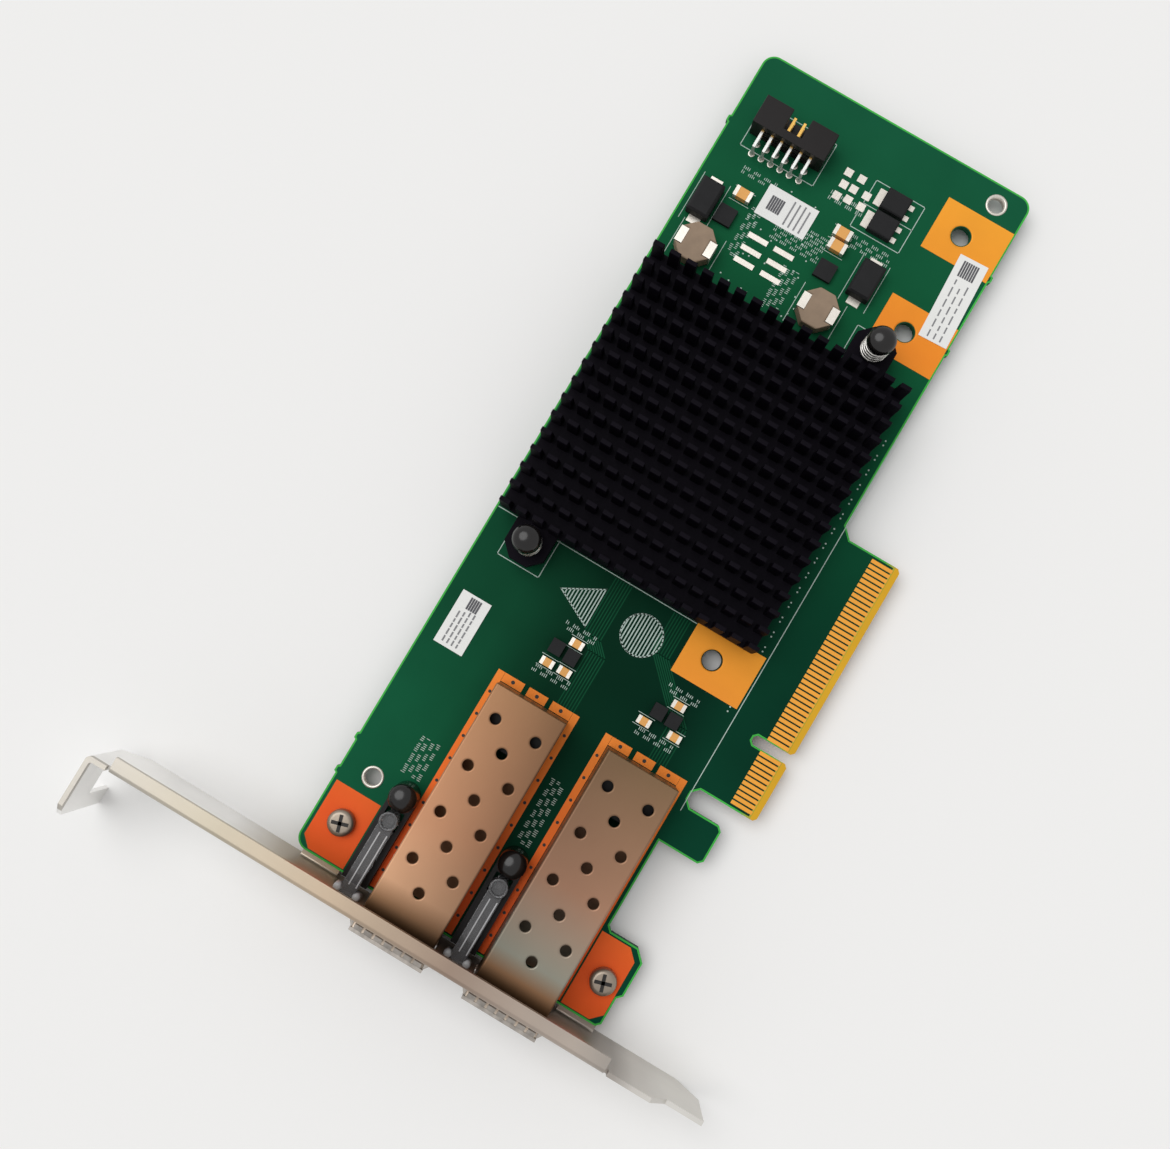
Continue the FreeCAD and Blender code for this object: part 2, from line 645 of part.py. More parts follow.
def make_fixing_pads():
    """Gold pads round the fixing holes, each with its own hole."""
    pads = []
    for index, (x, y) in enumerate(SPARE_HOLES):
        low = "board_foot + pad_margin"
        plate = box("FixingPad%d" % index, "spare_pad_x", "spare_pad_top - board_foot - pad_margin",
                    "gold_thick", "(%s) - spare_pad_x / 2" % x, low, "board_thick")
        hole = prism("FixingPadHole%d" % index, 8, "spare_hole + pad_margin", "gold_thick", x, y, "board_thick")
        pads.append(cut("FixingPadCut%d" % index, plate, hole))
    front = "board_front + 0.5"
    upper = box("UpperScrewPad", "screw_pad_x", "screw_pad_upper", "gold_thick", front,
                "board_top - 0.9 - screw_pad_upper", "board_thick")
    upper = trimmed("UpperScrewPadTrim", upper, [(front, "board_top - 0.9")], "screw_pad_round")
    lower = box("LowerScrewPad", "screw_pad_x + 1.4", "screw_pad_lower", "gold_thick", front,
                "ear_tip + ear_step + 0.4", "board_thick")
    lower_y = "ear_tip + ear_step + 0.4"
    lower = trimmed("LowerScrewPadTrim", lower,
                    [(front, lower_y), (front + " + screw_pad_x + 1.4", lower_y)], "screw_pad_round")
    for index, (plate, (x, y)) in enumerate(zip((upper, lower), SCREWS)):
        hole = prism("ScrewPadHole%d" % index, 8, "screw_hole", "gold_thick", x, y, "board_thick")
        pads.append(cut("ScrewPadCut%d" % index, plate, hole))
    node(group("FixingPads", pads), "fixing_pads")


def make_cage_frames():
    """Gold ground frames on the board beside and behind each cage."""
    strips = []
    for index, middle in enumerate(CAGE_YS):
        side_length = "cage_rear - board_front - 0.5 + frame_rear"
        reach = "(cage_width / 2 + frame_gap)"
        strips.append(box("FrameLeft%d" % index, side_length, "frame_side", "gold_thick",
                          "board_front + 0.6", "(%s) + %s" % (middle, reach), "board_thick"))
        strips.append(box("FrameRight%d" % index, side_length, "frame_side", "gold_thick",
                          "board_front + 0.6", "(%s) - %s - frame_side" % (middle, reach), "board_thick"))
        rear = "cage_rear + 0.1"
        strips.append(block("FrameRear%d" % index, "frame_rear", "2 * frame_part", "gold_thick",
                            rear + " + frame_rear / 2", middle, "board_thick"))
        outer = "frame_span - frame_part - frame_split"
        reach = "frame_span"
        strips.append(box("FrameRearLeft%d" % index, "frame_rear", outer, "gold_thick", rear,
                          "(%s) + frame_part + frame_split" % middle, "board_thick"))
        strips.append(box("FrameRearRight%d" % index, "frame_rear", outer, "gold_thick", rear,
                          "(%s) - (%s)" % (middle, reach), "board_thick"))
    node(group("CageFrames", strips), "cage_ground_frames")


def make_tool_rings():
    """Tinned rings round the two tooling holes."""
    rings = []
    for index, (x, y) in enumerate(TOOL_HOLES):
        disc = prism("ToolDisc%d" % index, 8, "tool_ring", "gold_thick", x, y, "board_thick")
        hole = prism("ToolBore%d" % index, 8, "tool_hole", "gold_thick", x, y, "board_thick")
        rings.append(cut("ToolRing%d" % index, disc, hole))
    node(group("ToolRings", rings), "tooling_hole_rings")


# --- Bracket ---------------------------------------------------------------------------

def make_bracket():
    """One folded sheet: plate, tail, screw tab, stiffening lip and two ears."""
    bracket = body("BracketBody")
    high = "(bracket_low + bracket_wide)"
    face = sketch(bracket, "PlateOutline", "YZ_Plane", PLATE_OUTER)
    shoulder = high + " - sheet_bracket - bracket_bend"
    outline(face, [
        ("tail_end", high + " - tail_trim"),
        ("tail_end", "bracket_low + tail_chamfer"),
        ("tail_end + tail_chamfer", "bracket_low"),
        ("bracket_top - tab_trim", "bracket_low"),
        ("bracket_top", "bracket_low + tab_trim"),
        ("bracket_top", high),
        ("lip_end + bend_relief", high),
        ("lip_end + bend_relief", shoulder),
        ("lip_start - bend_relief", shoulder),
        ("lip_start - bend_relief", high),
        ("tail_step", high),
        ("tail_step - tail_fall", high + " - tail_trim"),
    ])
    pad(bracket, "PlatePad", face, "sheet_bracket")

    tab = sketch(bracket, "TabOutline", "XZ_Plane", "-bracket_top")
    outer = PLATE_OUTER + " - tab_length + sheet_bracket"
    slot_front = PLATE_OUTER + " - tab_slot_x - tab_slot / 2"
    slot_rear = PLATE_OUTER + " - tab_slot_x + tab_slot / 2"
    outline(tab, [
        (PLATE_OUTER + " + sheet_bracket / 2", high),
        (outer + " + tab_clip", high),
        (outer, high + " - tab_clip"),
        (outer, "bracket_low"),
        (slot_front, "bracket_low"),
        (slot_front, "bracket_low + tab_slot_deep"),
        (slot_rear, "bracket_low + tab_slot_deep"),
        (slot_rear, "bracket_low + tab_trim"),
        (PLATE_OUTER + " + sheet_bracket / 2", "bracket_low + tab_trim"),
    ])
    pad(bracket, "TabPad", tab, "sheet_bracket")

    lip = sketch(bracket, "LipSection", "XZ_Plane", "-lip_end")
    outline(lip, [
        (PLATE_OUTER, shoulder),
        (PLATE_OUTER, high),
        (PLATE_OUTER + " + lip_width", high),
        (PLATE_OUTER + " + lip_width", high + " - sheet_bracket"),
        ("bracket_inner", high + " - sheet_bracket"),
        ("bracket_inner", shoulder),
    ])
    pad(bracket, "LipPad", lip, "lip_end - lip_start")

    feet = sketch(bracket, "FootOutline", "XY_Plane", "-sheet_bracket")
    for low in ("foot_upper_y", "foot_lower_y"):
        far = "bracket_inner + foot_length"
        outline(feet, [
            ("bracket_inner - sheet_bracket / 2", low),
            (far + " - foot_trim", low),
            (far, "(%s) + foot_trim" % low),
            (far, "(%s) + foot_wide - foot_trim" % low),
            (far + " - foot_trim", "(%s) + foot_wide" % low),
            ("bracket_inner - sheet_bracket / 2", "(%s) + foot_wide" % low),
        ])
    solid = pad(bracket, "FootPad", feet, "sheet_bracket")

    def bends(middle, run):
        along_y = abs(run.x) + abs(run.z) < 1e-6
        along_z = upright(run)
        lip_inner = along_y and near(middle.x, "bracket_inner") and near(middle.z, high + " - sheet_bracket")
        tab_inner = along_z and near(middle.x, PLATE_OUTER) and near(middle.y, "bracket_top - sheet_bracket")
        foot_inner = along_y and near(middle.x, "bracket_inner") and near(middle.z, "0")
        return lip_inner or tab_inner or foot_inner

    def outer_bends(middle, run):
        along_y = abs(run.x) + abs(run.z) < 1e-6
        in_lip = near(middle.y, "(lip_start + lip_end) / 2")
        lip_outer = along_y and near(middle.x, PLATE_OUTER) and near(middle.z, high) and in_lip
        tab_outer = upright(run) and near(middle.x, "bracket_inner") and near(middle.y, "bracket_top")
        return lip_outer or tab_outer

    solid = fillet(bracket, "InnerBends", solid, edges_where(solid, bends), "bracket_bend")
    fillet(bracket, "OuterBends", solid, edges_where(solid, outer_bends), "sheet_bracket * 0.95")

    ports = sketch(bracket, "PortOutline", "YZ_Plane", "bracket_inner")
    for middle in CAGE_YS:
        reach = "cage_width / 2 + port_gap"
        floor = "board_thick - port_gap"
        roof = "board_thick + cage_high + port_gap"
        outline(ports, [
            ("(%s) - (%s)" % (middle, reach), floor),
            ("(%s) + (%s)" % (middle, reach), floor),
            ("(%s) + (%s)" % (middle, reach), roof),
            ("(%s) - (%s)" % (middle, reach), roof),
        ])
        many_sided(ports, 8, "light_hole", "(%s) + pipe_shift" % middle, "board_thick + port_light")
    pocket(bracket, "PortOpenings", ports, "sheet_bracket")

    bores = sketch(bracket, "FootHoles", "XY_Plane", "0")
    for x, y in SCREWS:
        many_sided(bores, 8, "screw_shank + 0.1", x, y)
    pocket(bracket, "FootBores", bores, "sheet_bracket")
    return node(bracket, "bracket")


def make_screws():
    """Pan-head screws that pass through the board into the bracket's ears."""
    screws = []
    seat = "board_thick + gold_thick"
    for index, (x, y) in enumerate(SCREWS):
        low = "-sheet_bracket - screw_point"
        shank = prism("ScrewShank%d" % index, 8, "screw_shank", "%s - (%s)" % (seat, low), x, y, low)
        head = prism("ScrewPan%d" % index, 12, "screw_head", "screw_head_high", x, y, seat)
        head = top_bevel("ScrewHead%d" % index, head, "screw_head_high * 0.4")
        screws.append(fuse("Screw%d" % index, [shank, head]))
    node(group("Screws", screws), "bracket_screws")


# --- Port cages ------------------------------------------------------------------------

def make_cage(index, middle):
    """Folded cage: roof with vents, two sides and a rear wall, with pins through the board."""
    cage = body("CageBody%d" % index)
    half = "cage_width / 2"
    section = sketch(cage, "CageSection%d" % index, "YZ_Plane", CAGE_FRONT)
    outline(section, [
        ("(%s) - %s" % (middle, half), "board_thick"),
        ("(%s) - %s + cage_sheet" % (middle, half), "board_thick"),
        ("(%s) - %s + cage_sheet" % (middle, half), "board_thick + cage_high - cage_sheet"),
        ("(%s) + %s - cage_sheet" % (middle, half), "board_thick + cage_high - cage_sheet"),
        ("(%s) + %s - cage_sheet" % (middle, half), "board_thick"),
        ("(%s) + %s" % (middle, half), "board_thick"),
        ("(%s) + %s" % (middle, half), "board_thick + cage_high"),
        ("(%s) - %s" % (middle, half), "board_thick + cage_high"),
    ])
    solid = pad(cage, "CagePad%d" % index, section, "cage_length")
    rear = sketch(cage, "CageRear%d" % index, "YZ_Plane", "cage_rear - cage_sheet")
    outline(rear, [
        ("(%s) - %s + cage_sheet / 2" % (middle, half), "board_thick + 2 * cage_sheet"),
        ("(%s) + %s - cage_sheet / 2" % (middle, half), "board_thick + 2 * cage_sheet"),
        ("(%s) + %s - cage_sheet / 2" % (middle, half), "board_thick + cage_high - cage_sheet / 2"),
        ("(%s) - %s + cage_sheet / 2" % (middle, half), "board_thick + cage_high - cage_sheet / 2"),
    ])
    solid = pad(cage, "RearPad%d" % index, rear, "cage_sheet")

    def roof_edges(centre, run):
        along_x = abs(run.y) + abs(run.z) < 1e-6
        return along_x and near(centre.z, "board_thick + cage_high") and abs(run.x) > size("cage_length") / 2

    chamfer(cage, "RoofFolds%d" % index, solid, edges_where(solid, roof_edges), "cage_sheet * 0.9")
    pins = sketch(cage, "CagePins%d" % index, "XY_Plane", "-tail_pin_long")
    for x, y in pin_places(middle):
        side = "tail_pin_wide / 2"
        thin = "cage_sheet / 2"
        outline(pins, [
            ("%s - %s" % (x, side), "%s - %s" % (y, thin)),
            ("%s + %s" % (x, side), "%s - %s" % (y, thin)),
            ("%s + %s" % (x, side), "%s + %s" % (y, thin)),
            ("%s - %s" % (x, side), "%s + %s" % (y, thin)),
        ])
    pad(cage, "PinPad%d" % index, pins, "board_thick + tail_pin_long")
    vents = []
    for step in range(int(size("vent_rows"))):
        outer = "cage_rear - vent_first - %d * vent_pitch" % step
        roof = "board_thick + cage_high - cage_sheet"
        for part, (x, y) in enumerate(((outer, "(%s) + vent_side" % middle), (outer, "(%s) - vent_side" % middle),
                                       (outer + " - vent_pitch / 2", middle))):
            vents.append(prism("Vent%d%d%d" % (index, step, part), 6, "vent_diameter", "cage_sheet", x, y, roof))
    node(cut("CageVented%d" % index, cage, group("Vents%d" % index, vents)), "port_cage_%d" % (index + 1))


def make_cage_floor(index, middle):
    """Floor of a cage, with the latch window near the mouth and room for the connector."""
    plate = box("FloorPlate%d" % index, "cage_length - 12.5", "cage_width - 2 * cage_sheet - 0.1",
                "cage_sheet", CAGE_FRONT, "(%s) - (cage_width - 2 * cage_sheet - 0.1) / 2" % middle,
                "board_thick")
    window = box("FloorWindow%d" % index, "3.2", "3.2", "cage_sheet", CAGE_FRONT + " + 5",
                 "(%s) - 1.6" % middle, "board_thick")
    node(cut("CageFloor%d" % index, plate, window), "cage_floor_%d" % (index + 1))


def make_connector(index, middle):
    """Host connector inside the cage: block with a card slot, and its contacts."""
    rear = "cage_rear - cage_sheet - host_gap"
    shell = box("ConnectorBlock%d" % index, "host_deep", "host_wide", "host_high", "(%s) - host_deep" % rear,
                "(%s) - host_wide / 2" % middle, "board_thick")
    slot = box("ConnectorSlot%d" % index, "host_deep * 0.7", "host_wide - 1.8", "host_slot",
               "(%s) - host_deep" % rear, "(%s) - host_wide / 2 + 0.9" % middle, "board_thick + host_high * 0.43")
    node(cut("Connector%d" % index, shell, slot), "host_connector_%d" % (index + 1))
    leads = []
    for step in range(int(size("host_leads"))):
        y = "(%s) + (%d - (host_leads - 1) / 2) * host_pitch" % (middle, step)
        leads.append(block("ConnectorLead%d%d" % (index, step), "host_gap", "host_pitch * 0.4", "cage_sheet",
                           rear + " + host_gap / 2", y, "board_thick"))
    node(group("ConnectorLeads%d" % index, leads), "connector_leads_%d" % (index + 1))


def make_collar(index, middle):
    """Spring collar round the cage mouth: a front band with bowed fingers on all four sides."""
    front = CAGE_FRONT
    top = "cage_high + 2 * collar_sheet"
    outer = box("BandOuter%d" % index, "collar_band", "cage_width + 2 * collar_sheet", top, front,
                "(%s) - cage_width / 2 - collar_sheet" % middle, "board_thick - collar_sheet")
    inner = box("BandInner%d" % index, "collar_band", "cage_width", "cage_high", front,
                "(%s) - cage_width / 2" % middle, "board_thick")
    band = cut("Band%d" % index, outer, inner)
    root = size("collar_band")
    bow = size("(collar_wide - cage_width) / 2")
    reach = size("%s - %s" % (PLATE_OUTER, front)) - 0.05
    thick = size("collar_sheet")
    wide = size("finger_wide")
    crest = (root + reach) / 2
    profile = [(root, 0), (root, thick), (crest, bow), (reach, 0)]
    section = Part.makePolygon([Vector(x, 0, z) for x, z in profile + profile[:1]])
    finger = Part.Face(section).extrude(Vector(0, wide, 0))
    finger.translate(Vector(0, -wide / 2, 0))
    shapes = []
    width = size("cage_width")
    high = size("cage_high")
    pitch = size("finger_pitch")
    for turn, span, lift in ((0, width, high / 2), (90, high, width / 2), (180, width, high / 2),
                             (270, high, width / 2)):
        count = int((span - wide) / pitch) + 1
        for step in range(count):
            copy = finger.copy()
            copy.translate(Vector(0, (step - (count - 1) / 2) * pitch, lift))
            copy.rotate(Vector(0, 0, 0), Vector(1, 0, 0), turn)
            shapes.append(copy)
    fingers = doc.addObject("Part::Feature", "Fingers%d" % index)
    fingers.Shape = Part.makeCompound(shapes)
    fingers.Placement = Placement(Vector(size(front), size(middle), size("board_thick") + high / 2), Rotation())
    node(group("Collar%d" % index, [band, fingers]), "spring_collar_%d" % (index + 1))


# --- Light pipes -----------------------------------------------------------------------

def make_light_pipe(index, middle):
    """Clear pipe from above its light to the bracket, and the black holder that carries it."""
    y = "(%s) + pipe_shift" % middle
    low = "board_thick + holder_high + 0.1"
    bar = box("PipeBar%d" % index, "lens_x - bracket_inner", "pipe_wide", "pipe_high", "bracket_inner",
              "(%s) - pipe_wide / 2" % y, low)
    lens = prism("PipeLens%d" % index, 6, "lens_wide", "pipe_high + holder_high - 1.1", "lens_x", y,
                 "board_thick + 1.2")
    nose = doc.addObject("Part::Prism", "PipeNose%d" % index)
    nose.Polygon = 6
    bind(nose, Circumradius="pipe_nose / 2", Height="sheet_bracket + 0.24", x="bracket_inner - sheet_bracket - 0.24",
         y=y, z="board_thick + port_light")
    nose.Placement.Rotation = Rotation(Vector(0, 1, 0), 90)
    node(fuse("LightPipe%d" % index, [bar, lens, nose]), "light_pipe_%d" % (index + 1))

    tray = box("HolderTray%d" % index, "post_x - board_front", "holder_wide", "holder_high", "board_front + 0.2",
               "(%s) - holder_wide / 2" % y, "board_thick")
    well = block("HolderWell%d" % index, "lens_wide + 0.6", "lens_wide + 0.4", "holder_high", "lens_x", y,
                 "board_thick")
    post = prism("HolderPost%d" % index, 10, "post_wide", "post_high + post_wide / 2", "post_x", y, "board_thick")
    post = top_bevel("HolderDome%d" % index, post, "post_wide * 0.3")
    holder = fuse("HolderSolid%d" % index, [tray, post])
    node(cut("Holder%d" % index, holder, well), "light_pipe_holder_%d" % (index + 1))


def make_lights():
    """Status lights on the board under the clear pipes."""
    lights = []
    for index, middle in enumerate(CAGE_YS):
        lights.append(block("Light%d" % index, "1.6", "1.2", "0.9", "lens_x", "(%s) + pipe_shift" % middle, "board_thick"))
    node(group("Lights", lights), "status_lights")


# --- Heat sink and chip ----------------------------------------------------------------

def make_heat_sink():
    """Extruded fins cut across into pins, with an ear at two opposite corners."""
    sink = body("SinkBody")
    left = "sink_x - sink_length / 2"
    right = "sink_x + sink_length / 2"
    low = "sink_y - sink_width / 2"
    high = "sink_y + sink_width / 2"
    reach = "clip_ear / 2"
    base = sketch(sink, "BaseOutline", "XY_Plane", SINK_LOW)
    outline(base, [
        (left, low),
        (right, low),
        (right, "clip_rear_y - " + reach),
        ("clip_rear_x + " + reach, "clip_rear_y - " + reach),
        ("clip_rear_x + " + reach, "clip_rear_y + " + reach),
        (right, "clip_rear_y + " + reach),
        (right, high),
        (left, high),
        (left, "clip_front_y + " + reach),
        ("clip_front_x - " + reach, "clip_front_y + " + reach),
        ("clip_front_x - " + reach, "clip_front_y - " + reach),
        (left, "clip_front_y - " + reach),
    ])
    slab = pad(sink, "BasePad", base, "sink_base")

    def ear_corners(middle, run):
        far = near(middle.x, "clip_front_x - clip_ear / 2") or near(middle.x, "clip_rear_x + clip_ear / 2")
        return upright(run) and far

    chamfer(sink, "EarRounds", slab, edges_where(slab, ear_corners), "clip_ear * 0.29")

    pitch = "(sink_length - fin_root) / (fin_count - 1)"
    fin = sketch(sink, "FinSection", "XZ_Plane", "-(%s)" % high)
    middle = "sink_x - sink_length / 2 + fin_root / 2"
    outline(fin, [
        (middle + " - fin_root / 2", SINK_FLOOR),
        (middle + " + fin_root / 2", SINK_FLOOR),
        (middle + " + fin_crest / 2", "sink_top"),
        (middle + " - fin_crest / 2", "sink_top"),
    ])
    solid = pad(sink, "FinPad", fin, "sink_width")
    row_of(sink, "FinRow", solid, fin, pitch, "fin_count")

    gap = "(sink_width - row_cut * (row_count - 1)) / row_count"
    channel = sketch(sink, "ChannelSection", "YZ_Plane", right + " + 1")
    first = "(%s) + %s" % (low, gap)
    outline(channel, [
        (first, SINK_FLOOR),
        (first + " + row_cut", SINK_FLOOR),
        (first + " + row_cut", "sink_top + 1"),
        (first, "sink_top + 1"),
    ])
    groove = pocket(sink, "ChannelCut", channel, "sink_length + 2")
    row_of(sink, "ChannelRow", groove, channel, "%s + row_cut" % gap, "row_count - 1")

    bores = []
    for index, (x, y) in enumerate(CLIPS):
        bores.append(prism("ClipBore%d" % index, 8, "clip_shaft + 2 * clip_gap", "sink_base", x, y, SINK_LOW))
    node(cut("SinkBored", sink, group("ClipBores", bores)), "heat_sink")


def make_push_pin(index, x, y):
    """Domed push pin through the heat sink's ear and the board."""
    barb = prism("PinBarb%d" % index, 8, "clip_barb", "clip_barb_long - 0.02", x, y, "-clip_barb_long")
    shaft = prism("PinShaft%d" % index, 8, "clip_shaft", "clip_head_low + 0.02", x, y, "-0.02")
    head = prism("PinDome%d" % index, 12, "clip_head", "clip_head_high", x, y, "clip_head_low")
    head = top_bevel("PinHead%d" % index, head, "clip_head * 0.3")
    node(fuse("PushPin%d" % index, [barb, shaft, head]), "push_pin_%d" % (index + 1))


def make_spring(index, x, y):
    """Coil spring between the heat sink's ear and the push pin's head, in short straight runs."""
    thick = size("spring_wire")
    radius = (size("spring_outer") - thick) / 2
    low = size(SINK_FLOOR) + thick / 2 + 0.01
    high = size("clip_head_low") - thick / 2 - 0.01
    turns = size("spring_turns")
    steps = int(turns * size("spring_facets"))
    sections = []
    for step in range(steps + 1):
        angle = step / steps * turns * 2 * math.pi
        level = step / steps * (high - low)
        across = Vector(math.cos(angle), math.sin(angle), 0)
        middle = across * radius + Vector(0, 0, level)
        corners = [middle + across * (thick / 2), middle - across * (thick / 2) + Vector(0, 0, thick / 2),
                   middle - across * (thick / 2) - Vector(0, 0, thick / 2)]
        sections.append(Part.makePolygon(corners + corners[:1]))
    spring = doc.addObject("Part::Feature", "Spring%d" % index)
    spring.Shape = Part.makeLoft(sections, True, True)
    spring.Placement = Placement(Vector(size(x), size(y), low), Rotation())
    node(spring, "push_pin_spring_%d" % (index + 1))


def make_controller():
    """Controller chip and the thermal pad that joins it to the heat sink."""
    substrate = block("Substrate", "chip_side", "chip_side", "chip_high - die_step", "sink_x", "sink_y",
                      "board_thick")
    lid = block("Lid", "die_side", "die_side", "die_step", "sink_x", "sink_y",
                "board_thick + chip_high - die_step")
    node(fuse("Controller", [substrate, lid]), "controller_chip")
    thermal = block("ThermalPad", "die_side - 1", "die_side - 1", "pad_thick", "sink_x", "sink_y",
                    "board_thick + chip_high")
    node(thermal, "thermal_pad")


# --- Header ----------------------------------------------------------------------------

def make_header():
    """Right-angle shrouded header with two rows of pins."""
    front = "header_rear - header_deep"
    inside = "header_deep - header_back"
    shell = block("HeaderShell", "header_deep", "header_wide", "header_high",
                  "header_rear - header_deep / 2", "header_y", "board_thick")
    cavity = block("HeaderCavity", inside, "header_wide - 2 * header_wall", "header_high - 2 * header_wall",
                   "header_rear - (%s) / 2" % inside, "header_y", "board_thick + header_wall")
    slot = block("HeaderSlot", inside, "header_slot", "header_wall", "header_rear - (%s) / 2" % inside,
                 "header_y", "board_thick + header_high - header_wall")
    hollows = [cavity, slot]
    span = "(header_pins - 1) * header_pitch + header_pin"
    for row in (0, 1):
        level = "board_thick + header_high * header_level_%d" % (row + 1)
        hollows.append(block("HeaderRowSlot%d" % row, "header_back + 0.1", span, "header_pin",
                             front + " + header_back / 2", "header_y", "%s - header_pin / 2" % level))
    pins = []
    for index, (x, y) in enumerate(header_leads()):
        row = index // int(size("header_pins"))
        level = "board_thick + header_high * header_level_%d" % (row + 1)
        half = "header_pin / 2"
        arm = box("HeaderArm%d" % index, "header_rear - 0.6 - (%s) + %s" % (x, half), "header_pin", "header_pin",
                  "(%s) - %s" % (x, half), "(%s) - %s" % (y, half), "%s - %s" % (level, half))
        leg = box("HeaderLeg%d" % index, "header_pin", "header_pin", "%s - board_thick" % level,
                  "(%s) - %s" % (x, half), "(%s) - %s" % (y, half), "board_thick")
        pins.append(fuse("HeaderPin%d" % index, [arm, leg]))
    node(cut("HeaderHousing", shell, fuse("HeaderHollow", hollows)), "header_housing")
    node(group("HeaderPins", pins), "header_pins")


# --- Small parts on the board ----------------------------------------------------------

# Middle of each small part on the board: x, y.
INDUCTORS = (("71.6", "62.1"), ("72.4", "37.0"))
TANTALUMS = (("80.1", "64.9"), ("81.8", "32.1"))
TRANSISTORS = (("97.1", "34.5"), ("92.4", "34.5"))
REGULATORS = (("79.6", "60.3"), ("80.0", "39.4"))
LARGE_CAPACITORS = (("84.4", "59.4"), ("87.4", "40.1"), ("84.8", "39.8"))
SQUARE_PADS = (("98.3", "44.8"), ("98.4", "42.1"), ("95.9", "44.5"), ("96.0", "42.5"),
               ("96.1", "39.8"), ("93.4", "44.6"), ("93.8", "42.4"), ("93.8", "39.7"))
BEADS = (("-3.9", "46.3"), ("-4.2", "43.1"), ("-4.5", "24.8"), ("-4.6", "21.7"))
FILTER_CAPACITORS = (("-1.6", "43.5"), ("-7.1", "46.4"), ("-7.0", "42.9"),
                     ("-1.8", "22.2"), ("-7.3", "26.2"), ("-7.0", "20.1"))
BAR_PADS = (("79.0", "52.9"), ("76.4", "52.9"), ("73.85", "52.9"),
            ("79.05", "47.5"), ("76.45", "47.5"), ("73.9", "47.4"))
# Lowest corner, length, width and turn in degrees of each paper label.
LABELS = (("83.0", "45.8", "6.2", "10.3", 0), ("78.8", "13.2", "17.0", "5.7", 2.5),
          ("-14.1", "60.2", "10.6", "5.9", 0))


def make_inductors():
    """Power inductors: eight-sided cores gripped by two terminals."""
    clips = []
    lift = "board_thick + terminal_thick"
    for index, (x, y) in enumerate(INDUCTORS):
        core = prism("Core%d" % index, 8, "core_across", "core_high", x, y, lift)
        trims = []
        for side in (-1, 1):
            edge = "(%s) + %d * (core_across / 2 - lug_deep / 2 + 0.1)" % (y, side)
            trims.append(block("CoreSlot%d%d" % (index, side + 1), "lug_wide + 0.1", "lug_deep", "core_high",
                               x, edge, lift))
            clips.append(block("Clip%d%d" % (index, side + 1), "lug_wide", "lug_deep",
                               "core_high + terminal_thick", x, edge, "board_thick"))
        node(cut("Inductor%d" % index, core, fuse("CoreSlots%d" % index, trims)), "power_inductor_%d" % (index + 1))
    node(group("InductorClips", clips), "inductor_terminals")


def make_tantalums():
    """Moulded capacitors with a bevelled case and two end terminals."""
    ends = []
    for index, (x, y) in enumerate(TANTALUMS):
        case = block("Case%d" % index, "mould_long", "mould_wide", "mould_high", x, y, "board_thick + terminal_thick")
        node(top_bevel("CaseBevel%d" % index, case, "mould_bevel"), "tantalum_capacitor_%d" % (index + 1))
        for side in (-1, 1):
            foot = block("CaseFoot%d%d" % (index, side + 1), "mould_foot", "mould_tab", "terminal_thick",
                         "(%s) + %d * mould_long / 2" % (x, side), y, "board_thick")
            ends.append(foot)
    node(group("TantalumEnds", ends), "tantalum_terminals")


def make_transistors():
    """Power transistors with two leads on one side and a tab on the other."""
    leads = []
    for index, (x, y) in enumerate(TRANSISTORS):
        case = block("TransistorCase%d" % index, "power_long", "power_wide", "power_high", x, y,
                     "board_thick + terminal_thick")
        node(top_bevel("TransistorBevel%d" % index, case, "power_bevel"), "power_transistor_%d" % (index + 1))
        for side in (-1, 1):
            leads.append(block("TransistorLead%d%d" % (index, side + 1), "power_lead", "power_lead * 1.6",
                               "terminal_thick", "(%s) + %d * power_lead * 1.1" % (x, side),
                               "(%s) - power_wide / 2 - power_lead * 0.2" % y, "board_thick"))
        leads.append(block("TransistorTab%d" % index, "power_long * 0.8", "power_lead * 1.9", "terminal_thick", x,
                           "(%s) + power_wide / 2 + power_lead * 0.4" % y, "board_thick"))
    node(group("TransistorLeads", leads), "transistor_leads")


def make_chips():
    """Regulators, capacitors, beads and the tinned pads of unused footprints."""
    for index, (x, y) in enumerate(REGULATORS):
        node(block("Regulator%d" % index, "regulator_side", "regulator_side", "regulator_high", x, y, "board_thick"),
             "regulator_chip_%d" % (index + 1))
    two_ended("large_capacitors", "large_capacitor_ends", LARGE_CAPACITORS, "large_wide", "large_long",
              "large_high", "large_end")
    two_ended("filter_capacitors", "filter_capacitor_ends", FILTER_CAPACITORS, "filter_wide", "filter_long",
              "filter_high", "filter_end")
    beads = []
    for index, (x, y) in enumerate(BEADS):
        beads.append(block("Bead%d" % index, "bead_long", "bead_wide", "bead_high", x, y, "board_thick"))
    node(group("Beads", beads), "filter_beads")
    pads = []
    for index, (x, y) in enumerate(BAR_PADS):
        pads.append(block("BarPad%d" % index, "bar_pad_wide", "bar_pad_long", "solder_thick", x, y, "board_thick"))
    for index, (x, y) in enumerate(SQUARE_PADS):
        pads.append(block("SquarePad%d" % index, "square_pad", "square_pad", "solder_thick", x, y, "board_thick"))
    node(group("SparePads", pads), "spare_footprint_pads")


def two_ended(label, end_label, places, wide, between, high, end):
    """Ceramic parts that lie along Y: a middle block and two metal ends."""
    middles = []
    ends = []
    for index, (x, y) in enumerate(places):
        middles.append(block(label + "Middle%d" % index, wide, between, high, x, y, "board_thick"))
        for side in (-1, 1):
            shift = "(%s) + %d * ((%s) + (%s)) / 2" % (y, side, between, end)
            ends.append(block(label + "End%d%d" % (index, side + 1), wide, end, high, x, shift, "board_thick"))
    node(group(label + "_group", middles), label)
    node(group(end_label + "_group", ends), end_label)


